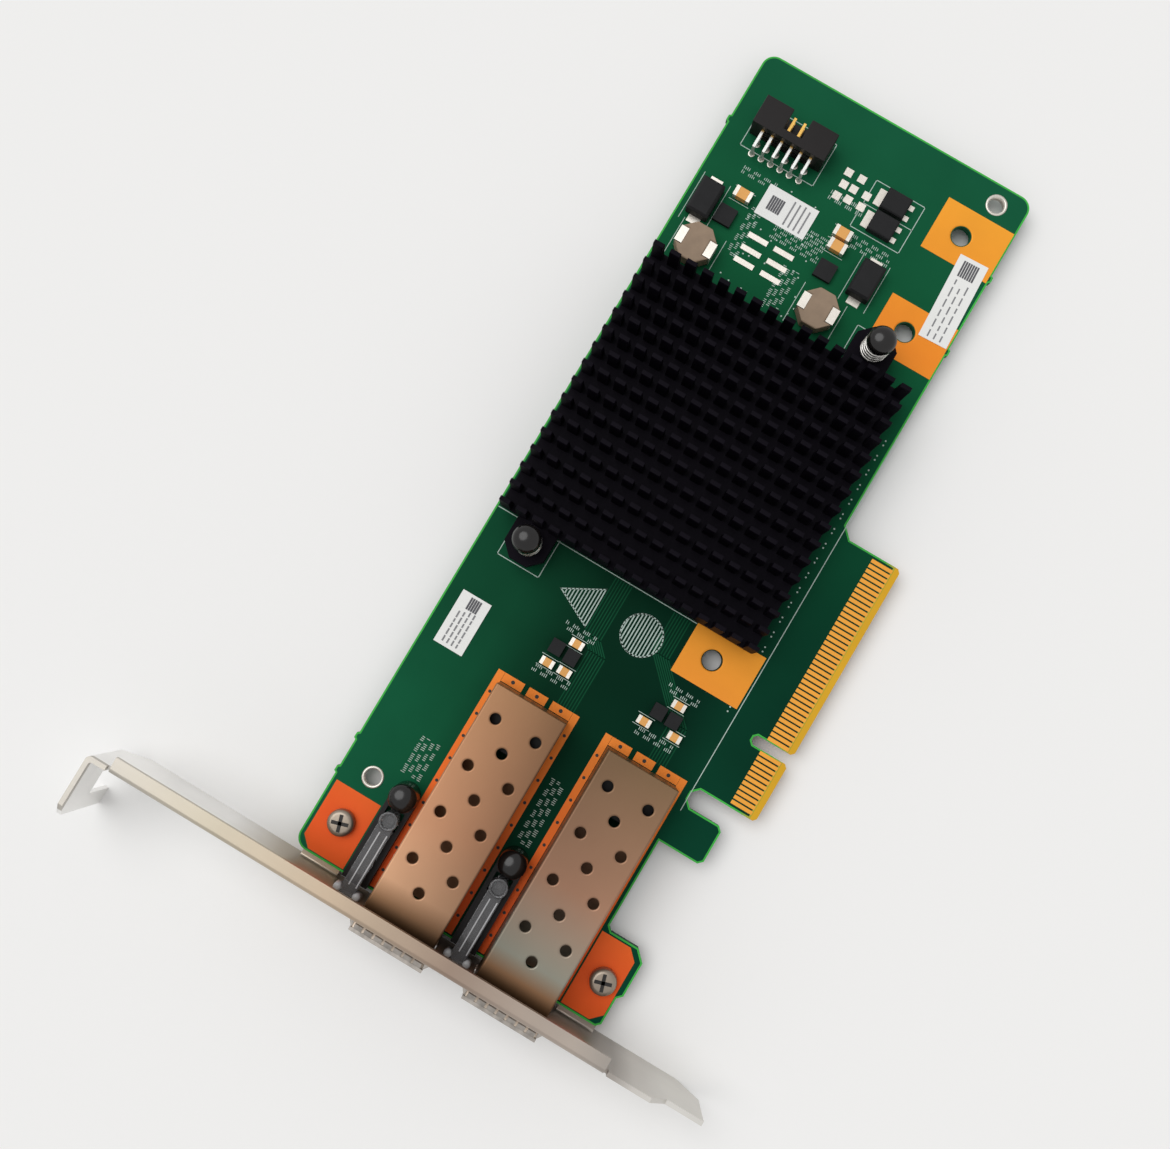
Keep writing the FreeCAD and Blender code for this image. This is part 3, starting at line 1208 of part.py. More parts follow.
def make_labels():
    """Blank paper labels."""
    papers = []
    for index, (x, y, length, width, turn) in enumerate(LABELS):
        lift = "board_thick + gold_thick" if index == 1 else "board_thick"
        paper = box("Paper%d" % index, length, width, "label_thick", x, y, lift)
        paper.Placement.Rotation = Rotation(Vector(0, 0, 1), turn)
        papers.append(paper)
    node(group("Papers", papers), "paper_labels")


def make_underside():
    """Decoupling capacitors on the solder side under the controller."""
    parts = []
    for column in range(2):
        parts.append(block("Decoupling%d" % column, "decouple_long", "decouple_wide", "decouple_wide",
                           "sink_x + (%d - 0.5) * decouple_pitch" % column, "sink_y", "-decouple_wide"))
    node(group("Decoupling", parts), "underside_capacitors")


make_board()
make_contacts()
make_fixing_pads()
make_cage_frames()
make_tool_rings()
make_bracket()
make_screws()
for number, place in enumerate(CAGE_YS):
    make_cage(number, place)
    make_cage_floor(number, place)
    make_connector(number, place)
    make_collar(number, place)
    make_light_pipe(number, place)
make_lights()
make_heat_sink()
for number, (across, along) in enumerate(CLIPS):
    make_push_pin(number, across, along)
    make_spring(number, across, along)
make_controller()
make_header()
make_inductors()
make_tantalums()
make_transistors()
make_chips()
make_labels()
make_underside()

doc.recompute()
for thing in doc.Objects:
    if "Invalid" in thing.State or "Error" in thing.State:
        raise RuntimeError("%s could not be built" % thing.Label)
os.makedirs("parts", exist_ok=True)
for piece in NODES:
    if piece.Shape.isNull() or not piece.Shape.isValid():
        raise RuntimeError("%s has no valid shape" % piece.Label)
    piece.Shape.exportStep("parts/%s.step" % piece.Label)
print("%d pieces" % len(NODES))
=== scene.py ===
# %% [markdown]
# # A network interface card, dressed for a studio picture
# The solids of the card are already built and packed as a fixed frame: board, bracket,
# port cages, heat sink and every small component, each with a name of its own.
# This notebook gives them their finishes, swaps the few round parts for smoother ones,
# and adds what is too thin to be a solid: printed lines, copper tracks and solder.

# %% Load the frame
import math

import bmesh
import bpy
import numpy as np
from mathutils import Matrix, Vector


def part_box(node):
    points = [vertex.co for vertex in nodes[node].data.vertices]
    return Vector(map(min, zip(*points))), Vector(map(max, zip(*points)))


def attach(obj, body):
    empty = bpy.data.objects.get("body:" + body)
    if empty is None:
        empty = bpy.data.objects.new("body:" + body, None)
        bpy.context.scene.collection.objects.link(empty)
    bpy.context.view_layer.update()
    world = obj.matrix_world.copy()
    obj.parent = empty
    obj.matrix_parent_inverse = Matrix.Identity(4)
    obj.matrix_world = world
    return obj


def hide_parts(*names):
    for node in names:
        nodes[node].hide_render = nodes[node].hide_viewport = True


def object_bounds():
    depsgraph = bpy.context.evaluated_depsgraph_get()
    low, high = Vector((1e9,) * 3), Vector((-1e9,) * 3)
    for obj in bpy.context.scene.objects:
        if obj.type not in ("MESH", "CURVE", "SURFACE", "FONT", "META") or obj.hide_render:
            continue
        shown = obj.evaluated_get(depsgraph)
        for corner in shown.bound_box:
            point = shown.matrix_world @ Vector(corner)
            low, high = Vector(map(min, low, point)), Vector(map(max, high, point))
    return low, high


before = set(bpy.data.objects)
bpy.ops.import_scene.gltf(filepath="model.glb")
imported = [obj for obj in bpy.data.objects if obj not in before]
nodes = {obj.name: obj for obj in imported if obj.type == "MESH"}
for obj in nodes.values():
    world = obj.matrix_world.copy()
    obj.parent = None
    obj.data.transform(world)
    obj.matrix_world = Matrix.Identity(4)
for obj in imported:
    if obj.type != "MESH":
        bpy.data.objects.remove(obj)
cad_low, cad_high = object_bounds()
print(len(nodes), "pieces in the frame")

# %% [markdown]
# Blender counts in metres and a card is drawn in millimetres, so one factor is kept for
# all of it. The board's own box gives the plane on which nearly everything lies: the top
# of the laminate. Its underside is at zero, so what hangs below it has negative heights.

# %% Units and the board's plane
MM = 0.001


def box_mm(name):
    """Lowest and highest corner of a piece of the frame, in millimetres."""
    low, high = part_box(name)
    return np.array(low) / MM, np.array(high) / MM


def middle_mm(name):
    """Middle of a piece's box, in millimetres."""
    low, high = box_mm(name)
    return (low + high) / 2


TOP = box_mm("circuit_board")[1][2]
print("board plane at", round(TOP, 3), "mm")

# %% [markdown]
# A few small helpers make the new surfaces. A grid of points is one array of rows and
# columns; its faces are the quads between neighbouring rows and columns. A round part is
# a profile turned about an upright axis, and a wire is a circle carried along a path.
# Whole arrays are worked out at once, so no point is placed by a loop.

# %% Grids, turned parts and wires
def grid_faces(rows, columns, around=False):
    """Quads of a grid: point (i, j) joins (i, j+1), (i+1, j+1) and (i+1, j).
    With around, the last column joins the first."""
    i, j = np.meshgrid(np.arange(rows - 1), np.arange(columns - (not around)), indexing="ij")
    here = i * columns + j
    beside = i * columns + (j + 1) % columns
    return np.stack([here, beside, beside + columns, here + columns], -1).reshape(-1, 4)


def circle(centre, radius, angle):
    """Places (cx + r cos a, cy + r sin a) for an array of angles."""
    return np.stack([centre[0] + radius * np.cos(angle), centre[1] + radius * np.sin(angle)], -1)


def at_level(rows, level):
    """Rows of (x, y) places as one list of points at a height, or each row at its own."""
    return np.concatenate([rows, np.full((*rows.shape[:2], 1), level)], -1).reshape(-1, 3)


def turned(profile, centre, sides=32):
    """Surface of revolution: each (radius, height) of the profile goes round the upright
    axis through centre. Millimetres."""
    profile = np.asarray(profile, float)
    rows = circle(centre, profile[:, 0, None], np.arange(sides) * 2 * math.pi / sides)
    return at_level(rows, profile[:, 1, None, None]), grid_faces(len(profile), sides, around=True)


def wire(path, radius, sides=8):
    """Tube: a circle of the given radius carried along the path, spanned at each point by
    two directions at right angles to the path there. The ends shrink to a point."""
    path = np.asarray(path, float)
    path = np.vstack([path[:1], path, path[-1:]])
    along = np.gradient(path, axis=0)
    along /= np.linalg.norm(along, axis=1, keepdims=True)
    across = np.cross(along, [0, 0, 1.0])
    across /= np.maximum(np.linalg.norm(across, axis=1, keepdims=True), 1e-9)
    upward = np.cross(across, along)
    angle = np.arange(sides) * 2 * math.pi / sides
    size = np.full(len(path), radius)
    size[[0, -1]] = 0
    ring = np.cos(angle)[None, :, None] * across[:, None] + np.sin(angle)[None, :, None] * upward[:, None]
    points = path[:, None] + ring * size[:, None, None]
    return points.reshape(-1, 3), grid_faces(len(path), sides, around=True)


def joined(parts):
    """Several (points, faces) pairs as one pair, with the face numbers moved along."""
    starts = np.cumsum([0] + [len(points) for points, faces in parts])
    points = np.vstack([points for points, faces in parts])
    faces = [list(face + start) for start, (_, some) in zip(starts, parts) for face in some]
    return points, faces


print("a grid of 3 by 4 points has", len(grid_faces(3, 4)), "quads")

# %% [markdown]
# A finished piece is a mesh whose points are already in place, on an object that sits at
# the origin. Points that fall together, as at the pole of a dome, are merged, and then
# the faces are turned outwards. Each piece rides on the card and carries its finish in
# its one material slot.

# %% Turning arrays into pieces
def merged(mesh):
    """The mesh in a scratch copy, as connected triangles with their doubles merged."""
    shell = bmesh.new()
    shell.from_mesh(mesh)
    bmesh.ops.remove_doubles(shell, verts=shell.verts, dist=0.0005 * MM)
    return shell


def placed(name, data):
    """New object with the given data, put into the scene."""
    thing = bpy.data.objects.new(name, data)
    bpy.context.scene.collection.objects.link(thing)
    return thing


def piece(name, parts, material, smooth=True, replaces=()):
    """Object made of the joined parts, merged, facing outwards and riding on the card."""
    points, faces = joined(parts)
    mesh = bpy.data.meshes.new(name)
    mesh.from_pydata(points * MM, [], faces)
    shell = merged(mesh)
    bmesh.ops.recalc_face_normals(shell, faces=shell.faces)
    shell.to_mesh(mesh)
    shell.free()
    mesh.polygons.foreach_set("use_smooth", [smooth] * len(mesh.polygons))
    mesh.materials.append(material)
    thing = placed(name, mesh)
    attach(thing, "root")
    if replaces:
        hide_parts(*replaces)
    return thing


# %% [markdown]
# Two effects show on almost every finish of a circuit card. One is a faint cloud of
# lighter and darker colour, as on plated metal and lacquer. The other is a fine grain
# that breaks up a reflection. Each is a node group, built once, with its strength and
# scale as inputs, so that each material can ask for its own amount.

# %% Shared effects
def added(tree, kind, operation=None, values=(), group=None):
    """New node in a tree, with its operation or group and the values of some of its inputs."""
    made = tree.nodes.new("ShaderNode" + kind)
    if operation:
        made.operation = operation
    if group:
        made.node_tree = group
        made.name = group.name
    for socket, value in dict(values).items():
        made.inputs[socket].default_value = value
    return made


def effect(name, inputs, outputs):
    """Empty node group with the given sockets, and its two ends."""
    tree = bpy.data.node_groups.new(name, "ShaderNodeTree")
    for label, kind, value in inputs:
        socket = tree.interface.new_socket(label, in_out="INPUT", socket_type=kind)
        socket.default_value = value
    for label, kind in outputs:
        tree.interface.new_socket(label, in_out="OUTPUT", socket_type=kind)
    start = tree.nodes.new("NodeGroupInput")
    end = tree.nodes.new("NodeGroupOutput")
    return tree, start, end


def clouded_effect():
    """Colour times (1 + amount * (noise - 0.5)), and the noise itself as a mask."""
    tree, start, end = effect(
        "clouded",
        [("Color", "NodeSocketColor", (1, 1, 1, 1)), ("Scale", "NodeSocketFloat", 300.0),
         ("Amount", "NodeSocketFloat", 0.3)],
        [("Color", "NodeSocketColor"), ("Mask", "NodeSocketFloat")],
    )
    place = added(tree, "TexCoord")
    noise = added(tree, "TexNoise", values={"Detail": 4})
    centred = added(tree, "Math", "SUBTRACT", {1: 0.5})
    strength = added(tree, "Math", "MULTIPLY")
    lifted = added(tree, "Math", "ADD", {1: 1})
    tint = added(tree, "VectorMath", "SCALE")
    link = tree.links.new
    link(place.outputs["Object"], noise.inputs["Vector"])
    link(start.outputs["Scale"], noise.inputs["Scale"])
    link(noise.outputs["Fac"], centred.inputs[0])
    link(centred.outputs[0], strength.inputs[0])
    link(start.outputs["Amount"], strength.inputs[1])
    link(strength.outputs[0], lifted.inputs[0])
    link(start.outputs["Color"], tint.inputs[0])
    link(lifted.outputs[0], tint.inputs["Scale"])
    link(tint.outputs[0], end.inputs["Color"])
    link(noise.outputs["Fac"], end.inputs["Mask"])
    return tree


def grained_effect():
    """Fine bump from noise stretched along one axis, and a roughness that follows it."""
    tree, start, end = effect(
        "grained",
        [("Scale", "NodeSocketFloat", 2000.0), ("Stretch", "NodeSocketVector", (1, 1, 1)),
         ("Depth", "NodeSocketFloat", 0.2), ("Roughness", "NodeSocketFloat", 0.4),
         ("Spread", "NodeSocketFloat", 0.1)],
        [("Normal", "NodeSocketVector"), ("Roughness", "NodeSocketFloat")],
    )
    place = added(tree, "TexCoord")
    stretched = added(tree, "VectorMath", "MULTIPLY")
    noise = added(tree, "TexNoise", values={"Detail": 3})
    bump = added(tree, "Bump", values={"Distance": 0.05 * MM})
    rough = added(tree, "Math", "MULTIPLY_ADD")
    link = tree.links.new
    link(place.outputs["Object"], stretched.inputs[0])
    link(start.outputs["Stretch"], stretched.inputs[1])
    link(stretched.outputs[0], noise.inputs["Vector"])
    link(start.outputs["Scale"], noise.inputs["Scale"])
    link(noise.outputs["Fac"], bump.inputs["Height"])
    link(start.outputs["Depth"], bump.inputs["Strength"])
    link(noise.outputs["Fac"], rough.inputs[0])
    link(start.outputs["Spread"], rough.inputs[1])
    link(start.outputs["Roughness"], rough.inputs[2])
    link(bump.outputs["Normal"], end.inputs["Normal"])
    link(rough.outputs[0], end.inputs["Roughness"])
    return tree


CLOUDED = clouded_effect()
GRAINED = grained_effect()
print("effects:", CLOUDED.name, GRAINED.name)

# %% [markdown]
# Each finish starts the same way: a Principled shader, a clouded colour and a grain. The
# numbers that never change over the surface, such as how metallic it is, are set on the
# shader itself. What follows is then a line or two for each finish, and only the few
# that change along the card, such as the lacquer and the cages, get nodes of their own.
# A mix node counts its colour sockets from six, so those numbers get names first.

# %% The common start of a finish
FACTOR, FIRST, SECOND, MIXED = 0, 6, 7, 2


def finish(name, color, metallic=0.0, roughness=0.4, specular=0.5, cloud=0.25, cloud_scale=250.0,
           grain=0.15, grain_scale=2500.0, stretch=(1, 1, 1), spread=0.1):
    """Principled material with a clouded colour and a grained reflection."""
    material = bpy.data.materials.new(name)
    material.use_nodes = True
    tree = material.node_tree
    shader = tree.nodes["Principled BSDF"]
    shader.inputs["Metallic"].default_value = metallic
    shader.inputs["Specular IOR Level"].default_value = specular
    tint = added(tree, "Group", group=CLOUDED, values={
        "Color": (*color, 1), "Scale": cloud_scale, "Amount": cloud})
    skin = added(tree, "Group", group=GRAINED, values={
        "Scale": grain_scale, "Stretch": stretch, "Depth": grain, "Roughness": roughness, "Spread": spread})
    tree.links.new(tint.outputs["Color"], shader.inputs["Base Color"])
    tree.links.new(skin.outputs["Roughness"], shader.inputs["Roughness"])
    tree.links.new(skin.outputs["Normal"], shader.inputs["Normal"])
    return material


def tint_of(material):
    """Socket that takes the base colour of a finish."""
    return material.node_tree.nodes[CLOUDED.name].inputs["Color"]


def product_of(tree):
    """Node that multiplies two colours."""
    return added(tree, "VectorMath", "MULTIPLY")


def mix_to(tree, color):
    """Node that mixes its first colour with the given one."""
    mix = added(tree, "Mix")
    mix.data_type = "RGBA"
    mix.inputs[SECOND].default_value = (*color, 1)
    return mix


def ramp_along(material, axis, stops, socket=None):
    """Colour ramp along one axis of the card, put into a socket of the material or into
    its base colour. Each stop is a place in millimetres and a colour, or a grey level."""
    tree = material.node_tree
    start, end = stops[0][0], stops[-1][0]
    place = added(tree, "TexCoord")
    split = added(tree, "SeparateXYZ")
    share = added(tree, "MapRange", values={"From Min": start * MM, "From Max": end * MM})
    ramp = added(tree, "ValToRGB")
    while len(ramp.color_ramp.elements) < len(stops):
        ramp.color_ramp.elements.new(0.5)
    for element, (where, color) in zip(ramp.color_ramp.elements, stops):
        element.position = (where - start) / (end - start)
        element.color = (*(np.zeros(3) + color), 1)
    tree.links.new(place.outputs["Object"], split.inputs[0])
    tree.links.new(split.outputs[axis], share.inputs["Value"])
    tree.links.new(share.outputs[0], ramp.inputs["Fac"])
    tree.links.new(ramp.outputs["Color"], tint_of(material) if socket is None else socket)


# %% [markdown]
# The board is woven glass under green lacquer. Its colour is a ramp along the board,
# darker in the middle and lighter towards both ends, times a painted shade that darkens the
# half by the contact edge, most near the bracket. The bare gold pads and contacts share one orange-yellow
# plating.

# %% Finishes of the board
def lacquer_finish():
    """Green that runs along the card, times a painted shade across it that holds near the bracket and
    fades out towards the far end. The bevel of the contact edge is bare, yellow glass."""
    material = finish("green_lacquer", (0.005, 0.08, 0.035), roughness=0.35, specular=0.02,
                      cloud=0.3, cloud_scale=90.0, grain=0.05)
    tree = material.node_tree
    product = product_of(tree)
    shade = mix_to(tree, (1, 1, 1))
    bevel = mix_to(tree, (0.72, 0.40, 0.03))
    ramp_along(material, "X",
               [(-58, (0.007, 0.100, 0.046)), (-25, (0.006, 0.092, 0.040)), (-5, (0.0045, 0.062, 0.027)),
                (20, (0.004, 0.062, 0.027)), (75, (0.006, 0.092, 0.036)), (111, (0.008, 0.094, 0.043))],
               product.inputs[0])
    # Painted shade: the board is darkened from the contact edge up past the cages, in full near the bracket.
    ramp_along(material, "Y",
               [(-8, (0.4, 0.4, 0.5)), (12, (0.6, 0.65, 0.75)), (20, (0.35, 0.38, 0.45)),
                (44, (0.38, 0.40, 0.42)), (57, 0.95), (68, 1)],
               shade.inputs[FIRST])
    ramp_along(material, "X", [(5, 0), (75, 1)], shade.inputs[FACTOR])
    ramp_along(material, "Y", [(0, 1), (1.15, 1), (1.25, 0), (3, 0)], bevel.inputs[FACTOR])
    tree.links.new(shade.outputs[MIXED], product.inputs[1])
    tree.links.new(product.outputs[0], bevel.inputs[FIRST])
    tree.links.new(bevel.outputs[MIXED], tint_of(material))
    return material


lacquer = lacquer_finish()
# Lime rim: the bare laminate's colour, brightened as a painted highlight of the board's lit edge.
rim_laminate_and_highlight = finish("bare_edge_painted_highlight", (0.05, 0.42, 0.06), roughness=0.35, specular=0.1, cloud=0.7,
                   cloud_scale=60.0)
ramp_along(rim_laminate_and_highlight, "Y", [(-1, (0.46, 0.42, 0.05)), (1.6, (0.40, 0.40, 0.05)),
                            (3.4, (0.05, 0.42, 0.06)), (6, (0.05, 0.42, 0.06))])
track_green = finish("lacquer_over_copper", (0.006, 0.068, 0.030), roughness=0.35, specular=0.02,
                     cloud=0.5)
gold = finish("gold_plating_painted_shade", (0.78, 0.24, 0.03), metallic=0.25, roughness=0.42, specular=0.15,
              cloud=0.2, cloud_scale=120.0)
# Painted shade and reflection: the plating is redder and darker near the bracket and yellower towards the far
# end.
ramp_along(gold, "X", [(-58, (0.72, 0.10, 0.016)), (-50, (0.72, 0.09, 0.014)), (-10, (0.74, 0.22, 0.03)),
                       (20, (0.80, 0.33, 0.025)), (75, (0.80, 0.24, 0.02)), (108, (0.86, 0.36, 0.03))])
contact_gold = finish("hard_gold", (0.80, 0.34, 0.035), metallic=0.45, roughness=0.3, cloud=0.15)
pin_gold = finish("header_pin_plating", (0.72, 0.42, 0.10), metallic=0.6, roughness=0.3)
ramp_along(pin_gold, "X", [(90, (0.70, 0.70, 0.68)), (94.9, (0.70, 0.70, 0.68)),
                           (95.3, (0.74, 0.44, 0.10)), (105, (0.74, 0.44, 0.10))])
white_ink = finish("white_print", (0.44, 0.54, 0.49), roughness=0.7, specular=0.05, cloud=0.5,
                   cloud_scale=900.0)
tin = finish("tinned_copper", (0.66, 0.62, 0.56), metallic=0.7, roughness=0.3, cloud=0.4)
print("board finishes ready")

# %% [markdown]
# The metals come next. Bracket and tab are bright nickel-plated steel with a faint
# brushing along the bracket, and their colour along the bracket is a painted reflection. The
# cages are thinner plate with a warm, copper-pink cast that fades towards the bracket; each
# cage also gets a painted sheen along and across it, different on the two, and by the bracket
# a painted dark band stands for the shade of the sheet.

# %% Finishes of the metal parts
def bracket_finish():
    """Plate whose colour runs along the bracket as a painted reflection. Beyond the board, where
    nothing stands in front of it, a painted highlight makes its sheet brighter than its folded lip."""
    material = finish("nickel_plate_painted_reflection", (0.52, 0.49, 0.45), metallic=0.7, roughness=0.34, cloud=0.25,
                      cloud_scale=80.0, grain=0.1, stretch=(1, 0.06, 1))
    tree = material.node_tree
    # Painted highlight: beyond the board, below the lip, the sheet is painted near white.
    painted_sheet_highlight = mix_to(tree, (0.90, 0.89, 0.87))
    both = added(tree, "Math", "MULTIPLY")
    lip = box_mm("bracket")[1][2]
    ramp_along(material, "Y", [(60, 0), (70, 0.2), (80, 1)], both.inputs[0])
    ramp_along(material, "Z", [(lip - 8, 1), (lip - 1.3, 1), (lip - 1.0, 0), (lip, 0)], both.inputs[1])
    # Painted reflection: pale at the tail end, dark and warm beside the board, lighter towards the tab.
    ramp_along(material, "Y",
               [(-8, (0.66, 0.64, 0.60)), (-2, (0.58, 0.55, 0.51)), (2, (0.34, 0.31, 0.28)),
                (10, (0.42, 0.36, 0.31)), (34, (0.30, 0.22, 0.17)), (58, (0.46, 0.36, 0.26)),
                (80, (0.46, 0.41, 0.32)), (112, (0.46, 0.44, 0.41))],
               painted_sheet_highlight.inputs[FIRST])
    tree.links.new(both.outputs[0], painted_sheet_highlight.inputs[FACTOR])
    tree.links.new(painted_sheet_highlight.outputs[MIXED], tint_of(material))
    return material


def cage_finish(name, cage, stops, near, far):
    """Warm plate whose colour runs along the cage as a painted sheen, times a painted shade that
    runs across it from the side near the contact edge to the far one."""
    low, high = box_mm(cage)
    near_y, far_y = low[1], high[1]
    material = finish(name, (0.4, 0.24, 0.14), metallic=0.55, roughness=0.33, specular=0.2, cloud=0.25,
                      cloud_scale=60.0, grain=0.1, stretch=(0.08, 1, 1))
    product = product_of(material.node_tree)
    ramp_along(material, "X", stops, product.inputs[0])
    ramp_along(material, "Y", [(near_y, near), (far_y, far)], product.inputs[1])
    material.node_tree.links.new(product.outputs[0], tint_of(material))
    return material


# Painted light on the cage tops: a dark band of painted shade under the bracket's lip, and a painted sheen
# along each cage; the two sheens make lit and shaded copies of one plate.
LIP_SHADE_BAND = [(-63, (0.55, 0.50, 0.43)), (-60, (0.28, 0.18, 0.12)), (-58, (0.05, 0.025, 0.01)),
        (-55.5, (0.17, 0.09, 0.045))]
CAGE_1_SHEEN = [(-52, (0.38, 0.215, 0.125)), (-40, (0.31, 0.155, 0.085)), (-14, (0.20, 0.105, 0.052))]
CAGE_2_SHEEN = [(-52, (0.19, 0.185, 0.15)), (-38, (0.25, 0.135, 0.085)), (-14, (0.14, 0.085, 0.045))]
plate = bracket_finish()
cage_plate_1 = cage_finish("cage_plate_1_painted_sheen", "port_cage_1", LIP_SHADE_BAND + CAGE_1_SHEEN, 0.75, 1.45)
cage_plate_2 = cage_finish("cage_plate_2_painted_sheen", "port_cage_2", LIP_SHADE_BAND + CAGE_2_SHEEN, 1.35, 1.0)
screw_plate = finish("screw_nickel", (0.30, 0.25, 0.20), metallic=0.8, roughness=0.33)
# Flat dark paint that stands for the shade inside holes: the screws' recesses and the frames' vias.
painted_hole_shade = finish("screw_recess", (0.02, 0.018, 0.016), metallic=0.3, roughness=0.5)
collar_plate = finish("collar_tin", (0.34, 0.31, 0.28), metallic=0.75, roughness=0.3, cloud=1.2,
                      cloud_scale=700.0)
spring_wire = finish("spring_steel", (0.62, 0.60, 0.57), metallic=0.85, roughness=0.22)
print("metal finishes ready")

# %% [markdown]
# Plastics, ferrite and ceramic are small but many. The heat sink is black anodised
# aluminium, almost without a reflection, and the chips are matt moulded resin. The light
# pipes are clear plastic with a darker tint, so they keep a plain transmission.

# %% Finishes of plastics and components
anodised = finish("black_anodised", (0.0034, 0.0024, 0.0050), roughness=0.5, specular=0.05, cloud=0.5)
black_resin = finish("moulded_resin", (0.016, 0.016, 0.017), roughness=0.55, specular=0.12, cloud=0.4,
                     cloud_scale=500.0)
black_plastic = finish("black_nylon", (0.012, 0.010, 0.010), roughness=0.32, specular=0.16, cloud=0.3)
ferrite = finish("grey_ferrite", (0.28, 0.20, 0.136), roughness=0.5, specular=0.3, cloud=0.5,
                 cloud_scale=400.0)
ceramic = finish("tan_ceramic", (0.74, 0.36, 0.09), roughness=0.45, specular=0.4, cloud=0.3)
paper = finish("label_paper", (0.82, 0.82, 0.80), roughness=0.7, specular=0.2, cloud=0.06)
label_ink = finish("label_print", (0.10, 0.10, 0.11), roughness=0.6, specular=0.2, cloud=0.5,
                   cloud_scale=900.0)
faded_ink = finish("faded_label_print", (0.24, 0.24, 0.25), roughness=0.6, specular=0.1, cloud=0.6,
                   cloud_scale=1200.0)
gloss_black = finish("polished_nylon", (0.006, 0.005, 0.005), roughness=0.14, specular=0.42, cloud=0.3)
# Milky plastic for the pipes' feet, also used for the painted highlight streaks on the clear bars.
feet_plastic_and_streaks = finish("milky_plastic_and_painted_streaks", (0.45, 0.45, 0.46), roughness=0.25, specular=0.5, cloud=0.4)
grey_pad = finish("thermal_grey", (0.35, 0.36, 0.38), roughness=0.7, specular=0.2)
lamp_white = finish("lamp_window", (0.8, 0.78, 0.7), roughness=0.4)


def clear_plastic():
    """Tinted clear plastic: light passes through, and the colour is that of its depth."""
    material = finish("clear_tint", (0.30, 0.30, 0.31), roughness=0.06, specular=0.5, cloud=0.3,
                      grain=0.03)
    shader = material.node_tree.nodes["Principled BSDF"]
    shader.inputs["Transmission Weight"].default_value = 0.75
    shader.inputs["IOR"].default_value = 1.45
    return material


clear = clear_plastic()
print(len(bpy.data.materials), "materials so far")

# %% [markdown]
# Each piece of the frame now gets its finish. The name of a piece says what it is, so a
# table from finish to names is all that is needed, and a name without a finish stops the
# notebook. A solid's sharp edges catch no light, so a small bevel is laid over the pieces
# that are large enough to show one; the triangles are welded first.

# %% Dressing the pieces of the frame
def pair(name):
    """The two pieces that share a name."""
    return [name + "_1", name + "_2"]


DRESS = {
    lacquer: ["circuit_board"],
    gold: ["fixing_pads", "cage_ground_frames"],
    contact_gold: ["edge_contacts_front", "edge_contacts_back"],
    pin_gold: ["header_pins"],
    tin: ["tooling_hole_rings", "inductor_terminals", "tantalum_terminals", "transistor_leads",
          "filter_capacitor_ends", "large_capacitor_ends", "spare_footprint_pads",
          *pair("connector_leads")],
    plate: ["bracket"],
    cage_plate_1: ["port_cage_1", "cage_floor_1"],
    cage_plate_2: ["port_cage_2", "cage_floor_2"],
    screw_plate: ["bracket_screws"],
    collar_plate: pair("spring_collar"),
    spring_wire: pair("push_pin_spring"),
    anodised: ["heat_sink"],
    black_resin: ["controller_chip", "filter_beads", *pair("regulator_chip"),
                  *pair("power_transistor"), *pair("tantalum_capacitor")],
    black_plastic: ["header_housing", *pair("host_connector"), *pair("push_pin"),
                    *pair("light_pipe_holder")],
    ferrite: pair("power_inductor"),
    ceramic: ["large_capacitors", "filter_capacitors", "underside_capacitors"],
    paper: ["paper_labels"],
    grey_pad: ["thermal_pad"],
    lamp_white: ["status_lights"],
    clear: pair("light_pipe"),
}
EDGES_MM = {
    0.07: ["heat_sink"],
    0.08: ["large_capacitors"],
    0.10: pair("power_transistor"),
    0.12: ["bracket", "header_housing", *pair("port_cage"), *pair("tantalum_capacitor"),
           *pair("light_pipe")],
    0.25: pair("power_inductor"),
}


def soften(thing, width):
    """Welded and bevelled edges; only edges sharper than 30 degrees are touched."""
    weld = thing.modifiers.new("weld", "WELD")
    weld.merge_threshold = 0.002 * MM
    edge = thing.modifiers.new("edge", "BEVEL")
    edge.width = width * MM
    edge.segments = 2
    edge.limit_method = "ANGLE"
    edge.angle_limit = math.radians(30)


def dress(thing, material):
    """One material on the whole piece."""
    thing.data.materials.clear()
    thing.data.materials.append(material)


for material, names in DRESS.items():
    for name in names:
        dress(nodes[name], material)
for width, names in EDGES_MM.items():
    for name in names:
        soften(nodes[name], width)
undressed = set(nodes) - {name for names in DRESS.values() for name in names}
if undressed:
    raise RuntimeError("no finish for " + ", ".join(sorted(undressed)))
print("dressed", len(nodes), "pieces")

# %% [markdown]
# Print, tracks and vias have places of their own, and most other added pieces take theirs
# from the frame. Two readings of a node's mesh serve nearly all of them: the box of each
# separate solid in it, and the closed outlines of its flat faces at one height.

# %% Reading places from the frame
def solids_mm(name):
    """Lowest and highest corner of each separate solid in a node, sorted by place."""
    shell = merged(nodes[name].data)
    left = set(shell.verts)
    boxes = []
    while left:
        ahead = [left.pop()]
        found = []
        while ahead:
            point = ahead.pop()
            found.append(point.co[:])
            beside = {edge.other_vert(point) for edge in point.link_edges} & left
            left -= beside
            ahead += beside
        points = np.array(found) / MM
        boxes.append((points.min(axis=0), points.max(axis=0)))
    shell.free()
    return sorted(boxes, key=lambda box: tuple(np.round(box[0], 2)))


